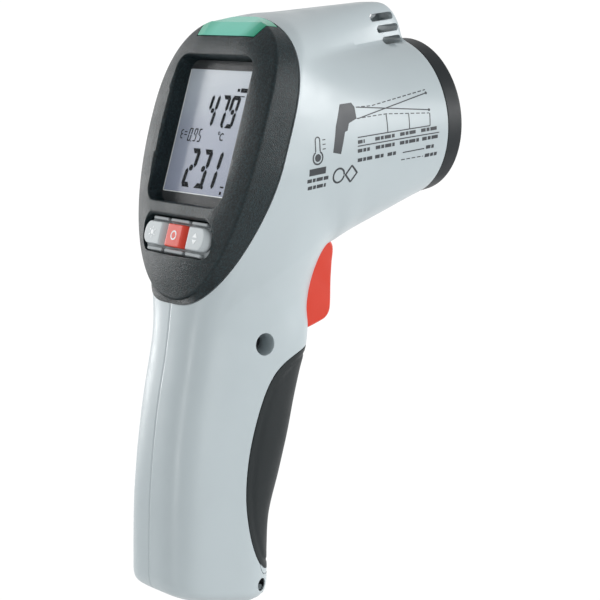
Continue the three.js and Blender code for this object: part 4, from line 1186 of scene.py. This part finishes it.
PIECES = [
    (right, "housing", ["right_housing"], "housing", "housing", 32),
    (left, "housing", ["left_housing"], "housing", "housing", 32),
    (bezel_piece, "housing", ["display_bezel"], "bezel", "bezel", 40),
    (alarm_piece, "housing", ["alarm_light_window"], "mint", "mint", 75),
    (printing, "housing", [], "print", None, 60),
    (lcd, "housing", ["lcd_panel"], "lcd", "lcd", 40),
    (window, "housing", ["display_window"], "window", "window", 40),
    (mask, "housing", [], "mask", None, 40),
    (figures, "housing", [], "segment", None, 40),
    (edge_line, "housing", [], "cream", None, 40),
    (build_keypad_mat(), "housing", ["keypad_mat"], "silicone", "silicone", 40),
    (build_key(-1), "left_key", ["key_left"], "key", "key", 50),
    (build_key(0), "middle_key", ["key_middle"], "orange", "orange", 50),
    (build_key(1), "right_key", ["key_right"], "key", "key", 50),
    (legends[0], "left_key", [], "legend", None, 40),
    (legends[1], "middle_key", [], "legend", None, 40),
    (legends[2], "right_key", [], "legend", None, 40),
    (build_nose_ring(), "housing", ["nose_ring"], "ring", "bezel", 40),
    (build_front_plate(), "housing", ["front_plate"], "black", "black_plastic", 40),
    (build_lens(), "housing", ["infrared_lens"], "germanium", "lens", 40),
    (build_trigger(), "trigger", ["trigger"], "orange", "orange", 50),
    (build_grip(), "door", ["door_grip"], "grip", "grip", 40),
    (build_carrier(), "door", ["battery_door"], "black", "black_plastic", 35),
    (build_hinge_caps(), "door", [], "housing", None, 35),
    # a black lining that paints the shade inside the lanyard hole
    (build_lanyard_painted_shade(), "housing", [], "black", None, 35),
    (build_screw(), "housing", ["handle_screw"], "dark_steel", "steel", 35),
]
for piece, body, nodes, look, slot, angle in PIECES:
    finish_piece(piece, body, nodes, LOOKS[look], angle)

CARRIED_OVER = {
    "lcd_backlight": "cream", "zebra_strip": "silicone", "main_board": "board", "board_screw_left": "steel",
    "board_screw_right": "steel", "alarm_led": "led", "buzzer": "black", "optics_tube": "brass",
    "thermopile_sensor": "steel", "sensor_board": "board", "laser_module_upper": "brass",
    "laser_module_lower": "brass", "humidity_board": "board", "humidity_sensor": "black",
    "trigger_pin": "steel", "trigger_spring": "steel", "switch_body": "black", "switch_plunger": "plunger",
    "door_hinge_pin": "steel", "battery": "battery", "battery_snap": "black", "battery_lead_red": "lead_red",
    "battery_lead_black": "lead_black",
}
for node, look in CARRIED_OVER.items():
    mesh = NODES[node].data
    mesh.materials.clear()
    mesh.materials.append(LOOKS[look])
    mesh.shade_smooth()
    mesh.set_sharp_from_angle(angle=math.radians(35))

# ---------------------------------------------------------------- camera, light and floor
camera_data = bpy.data.cameras.new("camera")
camera_data.lens = 120
camera_data.sensor_width = 36
camera_data.clip_end = 20
camera = linked("camera", camera_data)
AZIMUTH, ELEVATION, ROLL = (math.radians(v) for v in (54, 11.76, 4.39))
forward = Vector((-math.sin(AZIMUTH) * math.cos(ELEVATION), math.cos(AZIMUTH) * math.cos(ELEVATION),
                  -math.sin(ELEVATION)))
side = Vector((math.cos(AZIMUTH), math.sin(AZIMUTH), 0))
up = side.cross(forward)
right_axis = math.cos(ROLL) * side - math.sin(ROLL) * up
up_axis = math.sin(ROLL) * side + math.cos(ROLL) * up
camera.matrix_world = Matrix.Translation((0.50575, -0.32018, 0.21531)) @ Matrix(
    (right_axis, up_axis, -forward)).transposed().to_4x4()
bpy.context.scene.camera = camera
bpy.context.scene.view_settings.view_transform = "Standard"

world = bpy.data.worlds.new("studio")
world.use_nodes = True
sky = world.node_tree
direction = add_node(sky, "TexCoord", {})
facing = sky.nodes.new("ShaderNodeVectorMath")
facing.operation = "DOT_PRODUCT"
fill(sky, facing, {0: direction.outputs["Generated"], 1: (-0.79, 0.575, -0.2)})
fade = sky.nodes.new("ShaderNodeMapRange")
fade.interpolation_type = "SMOOTHSTEP"
fill(sky, fade, {"From Min": 0.35, "From Max": 0.94, "To Min": 0.5, "To Max": 1.04,
                 "Value": facing.outputs["Value"]})
fill(sky, sky.nodes["Background"], {"Strength": fade.outputs["Result"], "Color": (1, 1, 1, 1)})
bpy.context.scene.world = world

# The floor stops just short of what the camera sees, where the white backdrop takes over.
away = Vector((-math.sin(AZIMUTH), math.cos(AZIMUTH), 0))
floor_corners = [away * depth + side * width + Vector((0, 0, -0.3))
                 for depth, width in ((-6, -6), (-6, 6), (0.5, 6), (0.5, -6))]
floor = make_object("floor", floor_corners, [(0, 1, 2, 3)])
floor_material, floor_tree, floor_shader, _ = node_material("pale_floor")
fill(floor_tree, floor_shader, {"Base Color": (0.82, 0.82, 0.82, 1), "Roughness": 0.9})
floor.data.materials.append(floor_material)

for name, place, target, size, power in (
    ("front_box", (0.50, 0.80, 0.17), (0, 0.03, 0.14), (0.42, 0.36), 4.0),
    ("right_box", (1.0, 0.1, 0.2), (0, 0.0, 0.12), (0.5, 0.6), 2.2),
    ("rear_box", (0.12, -0.85, 0.26), (0, 0, 0.1), (0.16, 0.6), 1.6),
    ("left_box", (-0.80, -0.25, 0.25), (0, 0, 0.14), (0.3, 0.5), 3.2),
    ("top_box", (0.05, -0.05, 0.95), (0, 0, 0.15), (0.4, 0.4), 0.2),
):
    lamp = bpy.data.lights.new(name, "AREA")
    lamp.shape = "RECTANGLE"
    lamp.size, lamp.size_y = size
    lamp.energy = power
    softbox = linked(name, lamp)
    softbox.location = place
    softbox.rotation_euler = (Vector(target) - Vector(place)).to_track_quat("-Z", "Y").to_euler()
